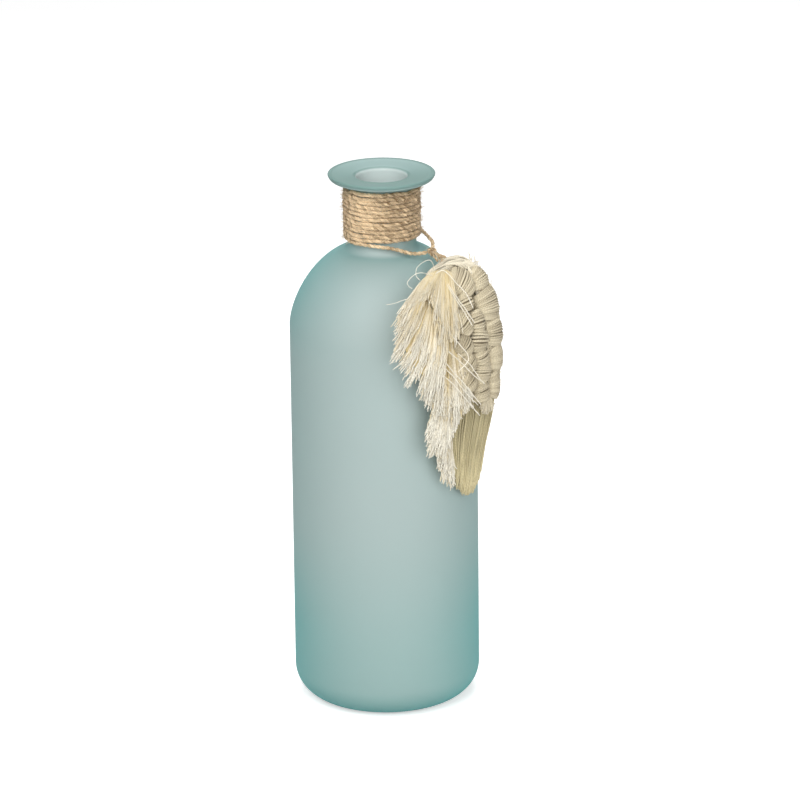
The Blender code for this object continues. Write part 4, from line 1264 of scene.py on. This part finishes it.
def between_guides(guides, u, k):
    """Places between the guide threads, at shares u across them and k down them, as t and s."""
    guides = np.asarray(guides, dtype=float)
    at = np.clip(u, 0, 1) * (len(guides) - 1)
    left = np.minimum(at.astype(int), len(guides) - 2)
    part = (at - left)[..., None]
    k = np.asarray(k, dtype=float)[..., None]
    root, middle, tip = ((1 - part) * guides[left, j] + part * guides[left + 1, j] for j in range(3))
    place = root * (1 - k) * (1 - 2 * k) + middle * 4 * k * (1 - k) + tip * k * (2 * k - 1)
    return place[..., 0], place[..., 1]


def parted(u, parts):
    """Shares across a tier, pushed away from its partings."""
    for part in parts:
        off = u - part
        u = u + np.sign(off) * 0.45 * PARTING_WIDTH * np.exp(-(off / PARTING_WIDTH) ** 2)
    return u


def tier_lift(tier, k):
    """The tier's height off the wing's surface, and its half thickness, at shares k down it."""
    k = np.clip(k, 0, 1)
    thin = FRINGE_TIP_HALF_DEPTH + (FRINGE_HALF_DEPTH - FRINGE_TIP_HALF_DEPTH) * np.sqrt(1 - k)
    return tier["h"][0] + (tier["h"][1] - tier["h"][0]) * k ** 0.9, thin


def fringe_threads(threads, tier, count, thick, rng, kind):
    """Combed threads from the tier's roots to its tips, gathered into locks: its yarns, or finer fibres."""
    fibre = kind is FIBRE
    points = kind["points"]
    u0 = parted((rng.permutation(count) + rng.random(count)) / count, tier["parts"])
    front = rng.random(count)
    if fibre:
        front = 0.45 + 0.6 * front
    # The lock that each belongs to, and its length as a share of the tier's
    locks = tier["locks"] * FRINGE_STRANDS_A_LOCK
    nearest = np.round(u0 * locks + 0.22 * rng.normal(size=count))
    ridge = np.sin(pi * ((u0 * tier["locks"]) % 1))
    length = 1 - FRINGE_LOCK_REACH * (1 - ridge) + 0.03 * np.sin(5.0 * nearest)
    length = length + 0.035 * rng.normal(size=count)
    length = length * (1 - tier["short"] * np.clip(front, 0, 1) ** 1.2 * rng.random(count))
    if fibre:
        length = length * (0.72 + 0.28 * rng.random(count))
    # Where it lies
    k = np.linspace(0, 1, points)[None]
    reach = k * np.clip(length, 0.3, 1.04)[:, None]
    gather = kind["gather"] * reach ** 1.6
    u = u0[:, None] * (1 - gather) + (nearest / locks)[:, None] * gather
    t, s = between_guides(tier["guides"], u, reach)
    h, thin = tier_lift(tier, reach)
    h = h + (2 * front[:, None] - 1) * (thin + 0.35 * k)
    # Its crimp, and the flick of its end
    long = np.hypot(t[:, -1] - t[:, 0], s[:, -1] - s[:, 0])[:, None]
    crimp = kind["crimp"] * np.clip((reach - tier["combed"]) * 2.6, 0.1, 1)
    phase = 2 * pi * rng.random((count, 1))
    wave = np.sin(k * long * 2 * pi / (4.4 + 2.2 * rng.random((count, 1))) + phase)
    flick = rng.normal(size=(3, count, 1)) * k ** 4 * kind["flick"]
    drift = soft_noise(rng, count, points, 5) * 0.22 * k ** 0.5
    t = t + flick[0] + crimp * wave + drift
    s = s + 0.5 * flick[1] + 0.35 * crimp * wave
    h = h + 0.55 * flick[2] + 0.3 * crimp * np.cos(k * long * 1.3 + phase) + kind["proud"] * k
    swell = 1.0 - 0.45 * k ** 2 if fibre else (0.55 + 0.45 * np.clip(k * 2.2, 0, 1)) * (1 - 0.3 * k ** 6)
    radius = thick * swell * (0.85 + 0.3 * rng.random((count, 1)))
    # Its tone, with painted shade: the roots and the back yarns deep golden, and darker still in the partings
    low, by_front, by_reach, left_pale = tier["pale"]
    pale = low + by_front * front[:, None] + by_reach * reach + 0.4 * k ** 4
    pale = pale + left_pale * (1 - u0[:, None]) * reach
    streak = 0.16 * np.sin(2.7 * nearest + 1.3) + 0.1 * np.sin(23.0 * u0)
    # Painted shade in the partings
    for part in tier["parts"]:
        streak = streak - 0.9 * np.exp(-((u0 - part) / PARTING_SHADE_WIDTH) ** 2)
    pale = np.clip(pale + streak[:, None], -0.2, 1.5)
    threads.add(on_wing(t, s, h), radius, kind["sides"], rng.random(count), reach=pale)


def fringe_backing(threads, tier):
    """A thin closed form behind the threads, so that no glass shows between their roots, coloured deep golden
    as painted shade.
    """
    u = np.linspace(0.015, 0.985, 41)
    rings = []
    for k in np.linspace(0, 1, 12):
        reach = np.full_like(u, 0.02 + k * BACKING_REACH)
        t, s = between_guides(tier["guides"], u, reach)
        h, thin = tier_lift(tier, reach)
        rings.append(np.concatenate([on_wing(t, s, h + 0.2 * thin), on_wing(t, s, h - 0.55 * thin)[::-1]]))
    threads.add_form(np.array(rings), 0.3, 0.0)


class VASE_OT_fringe(bpy.types.Operator):
    """The fringe's five tiers of combed threads"""

    bl_idname = "vase.fringe"
    bl_label = "Fringe"

    def execute(self, context):
        look = context.scene.vase_cotton
        finish = cotton_finish("cotton_fringe_combed", look.shade_gold, look.ivory, vary=0.6, tips=look.tips)
        for row, (name, tier) in enumerate(FRINGE_TIERS.items()):
            rng = np.random.default_rng(SEEDS["fringe"] + row)
            threads = Threads()
            fringe_backing(threads, tier)
            fringe_threads(threads, tier, tier["yarns"], look.yarn, rng, YARN)
            fringe_threads(threads, tier, tier["fibres"], look.fibre, rng, FIBRE)
            threads.piece(name + "_combed", finish, "wing", [name])
        return {"FINISHED"}


class VASE_OT_tail(bpy.types.Operator):
    """The straight combed tail below the band"""

    bl_idname = "vase.tail"
    bl_label = "Tail"

    def execute(self, context):
        look = context.scene.vase_cotton
        deep, pale = ([share * v for v in look.tail] for share in (0.5, 1.18))
        finish = cotton_finish("cotton_tail_combed", deep, pale, fill=0.3)
        threads = Threads()
        self.comb(threads, look, np.random.default_rng(SEEDS["tail"]))
        c, d = superellipse(round_turn(24), 3.0)
        rings = []
        for place, (low, high, at) in enumerate(TAIL_ROWS[:-1]):
            thin = TAIL_HALF_DEPTH * (1 - TAIL_THINNING * (place / 8) ** 2) * 0.72
            rings.append(on_wing((low + high) / 2 + 0.93 * (high - low) / 2 * c, at, TAIL_LIFT + thin * d))
        # The inner form is dark: painted shade between the threads
        threads.add_form(np.array(rings), 0.15)
        threads.piece("wing_tail_combed", finish, "wing", ["wing_tail"])
        return {"FINISHED"}

    def comb(self, threads, look, rng):
        tops, ends = np.array(TAIL_TOP), np.array(TAIL_ENDS)
        count, points = TAIL_THREADS, TAIL_POINTS
        w = (rng.permutation(count) + rng.random(count)) / count
        locks = np.round(w * TAIL_LOCKS + 0.2 * rng.normal(size=count)) / TAIL_LOCKS
        front = rng.random(count) ** 0.8
        first_t, last_t = (line[0, 0] + (line[-1, 0] - line[0, 0]) * w for line in (tops, ends))
        top = np.interp(first_t, tops[:, 0], tops[:, 1]) + 0.8 * rng.normal(size=count)
        ragged = 2.8 * np.abs(rng.normal(size=count)) * (0.6 + front)
        end = np.interp(last_t, ends[:, 0], ends[:, 1]) - 1.0 + ragged
        short = rng.random(count) < TAIL_SHORT_SHARE
        end = np.where(short, end + 14 * rng.random(count) * front, end)
        k = np.linspace(0, 1, points)[None]
        s = top[:, None] + (end - top)[:, None] * k
        gather = 0.45 * k ** 1.5
        u = w[:, None] * (1 - gather) + locks[:, None] * gather
        left, right = (between_rows(s, TAIL_ROWS, j, 2) for j in (0, 1))
        left = np.minimum(left, TAIL_LEFT_LIMIT)
        t = left + (right - left) * u + soft_noise(rng, count, points, 6) * 0.2
        t = t + 0.9 * rng.normal(size=(count, 1)) * k ** 5
        thin = 1 - TAIL_THINNING * np.clip((TAIL_ROWS[0][2] - s) / TAIL_LENGTH, 0, 1) ** 2
        edge = (1 - np.abs(2 * w - 1) ** 3)[:, None] ** 0.5
        h = TAIL_LIFT + TAIL_HALF_DEPTH * thin * (2 * front[:, None] - 1) * edge
        h = h + 0.15 * rng.normal(size=(count, 1))
        radius = look.fibre * TAIL_THICKENING * (0.8 + 0.5 * rng.random((count, 1)))
        radius = radius * (1 + 0.3 * k ** 3 - 0.5 * k ** 12)
        cream = rng.random((count, 1)) < TAIL_CREAM_SHARE
        bands = 0.4 * np.sin(3.1 * locks * TAIL_LOCKS + 0.6)[:, None] ** 3
        # Painted shade: back threads darker than front ones. The locks' bands and cream threads are their own
        # tone, and the ends paler
        pale = np.clip(0.4 * front[:, None] + bands + 1.3 * k ** 9 + 0.9 * cream, -0.3, 2.0)
        threads.add(on_wing(t, s, h), radius, 5, rng.random(count), reach=pale)


class VASE_OT_loose(bpy.types.Operator):
    """Loose cotton threads over the head and the band, and the puff where the band meets the tail"""

    bl_idname = "vase.loose"
    bl_label = "Loose threads"

    def execute(self, context):
        look = context.scene.vase_cotton
        finish = cotton_finish("cotton_loose_thread", LOOSE_DEEP, LOOSE_PALE, fill=0.2)
        rng = np.random.default_rng(SEEDS["loose"])
        threads = Threads()
        for place, (low, h, marks) in enumerate(LOOSE_THREADS):
            marks = np.array(marks)
            thick = THIN_RADIUS if place < THIN_LOOSE else LOOSE_RADIUS
            rise = h - (h - low) * np.exp(-np.arange(len(marks)) * 1.5)
            route = through(on_wing(marks[:, 0], marks[:, 1], rise), 0.6 * MM)
            n = len(route)
            wander = [soft_noise(rng, 1, n, max(4, n // 4))[0] for _ in range(3)]
            route = route + 0.12 * MM * np.stack(wander, axis=1)
            radii = thick * MM * (1 + 0.12 * soft_noise(rng, 1, n, max(4, n // 3)))
            threads.add(route, radii, 6, 0.6, reach=1.0 + 0.2 * soft_noise(rng, 1, n, max(4, n // 5)))
        self.puff(threads, look, rng)
        s = FUZZ_FOOT_S + FUZZ_SPAN * rng.random(FUZZ_HAIRS)
        t = between_rows(s, BAND_EDGES, 2) + 0.3 - 0.9 * np.clip(s - 24, 0, None)
        way = radians(-50) + (s - FUZZ_FOOT_S) / FUZZ_SPAN * radians(110)
        add_fuzz(threads, t, s, way, rng, 6, 0.7, (1.2, 2.2), 0.6, (-1.0, 5.0, 0.8), FUZZ_RADIUS)
        threads.piece("wing_loose_threads", finish, "wing", [])
        return {"FINISHED"}

    def puff(self, threads, look, rng):
        count, points = PUFF_HAIRS, 9
        k = np.linspace(0, 1, points)[None]
        u = rng.random(count)
        root = np.stack([20.0 + 5.0 * u, -32.0 - 1.2 * rng.random(count), 1.5 + 2.0 * rng.random(count)])
        low = -39.4 - 2.6 * np.sin(pi * u) + 3.0 * rng.random(count)
        end = np.stack([17.5 + 10.5 * u, low, 2.6 + 2.4 * rng.random(count)])
        path = root[:, :, None] + (end - root)[:, :, None] * k
        path[2] += 1.2 * np.sin(pi * k * 0.9)
        path[0] += soft_noise(rng, count, points, 4) * 0.25
        # The puff's roots are deep: painted shade where it meets the band and the tail
        threads.add(on_wing(*path), look.fibre * 1.4, 5, rng.random(count), reach=0.6 * k - 0.7)


PIECES = (
    VASE_OT_stage,
    VASE_OT_slack_loop,
    VASE_OT_winding,
    VASE_OT_knot,
    VASE_OT_glass,
    VASE_OT_fringe,
    VASE_OT_band,
    VASE_OT_cores,
    VASE_OT_crown,
    VASE_OT_tail,
    VASE_OT_loose,
)
LOOKS = {"vase_stage": Stage, "vase_glass": Glass, "vase_twine": Twine, "vase_cotton": Cotton}


class VASE_PT_panel(bpy.types.Panel):
    """Every piece of the vase, with its sizes and colours"""

    bl_idname = "VASE_PT_panel"
    bl_label = "Vase"
    bl_space_type = "VIEW_3D"
    bl_region_type = "UI"
    bl_category = "Vase"

    def draw(self, context):
        for operator in PIECES:
            self.layout.operator(operator.bl_idname)
        for key, group in LOOKS.items():
            box = self.layout.box()
            for name in group.__annotations__:
                box.prop(getattr(context.scene, key), name)


def register():
    for thing in (*LOOKS.values(), *PIECES, VASE_PT_panel):
        bpy.utils.register_class(thing)
    for key, group in LOOKS.items():
        setattr(bpy.types.Scene, key, PointerProperty(type=group))


def unregister():
    for key in LOOKS:
        delattr(bpy.types.Scene, key)
    for thing in (VASE_PT_panel, *reversed(PIECES), *reversed(LOOKS.values())):
        bpy.utils.unregister_class(thing)


def main():
    register()
    for operator in PIECES:
        group, name = operator.bl_idname.split(".")
        getattr(getattr(bpy.ops, group), name)()


if __name__ == "__main__":
    main()
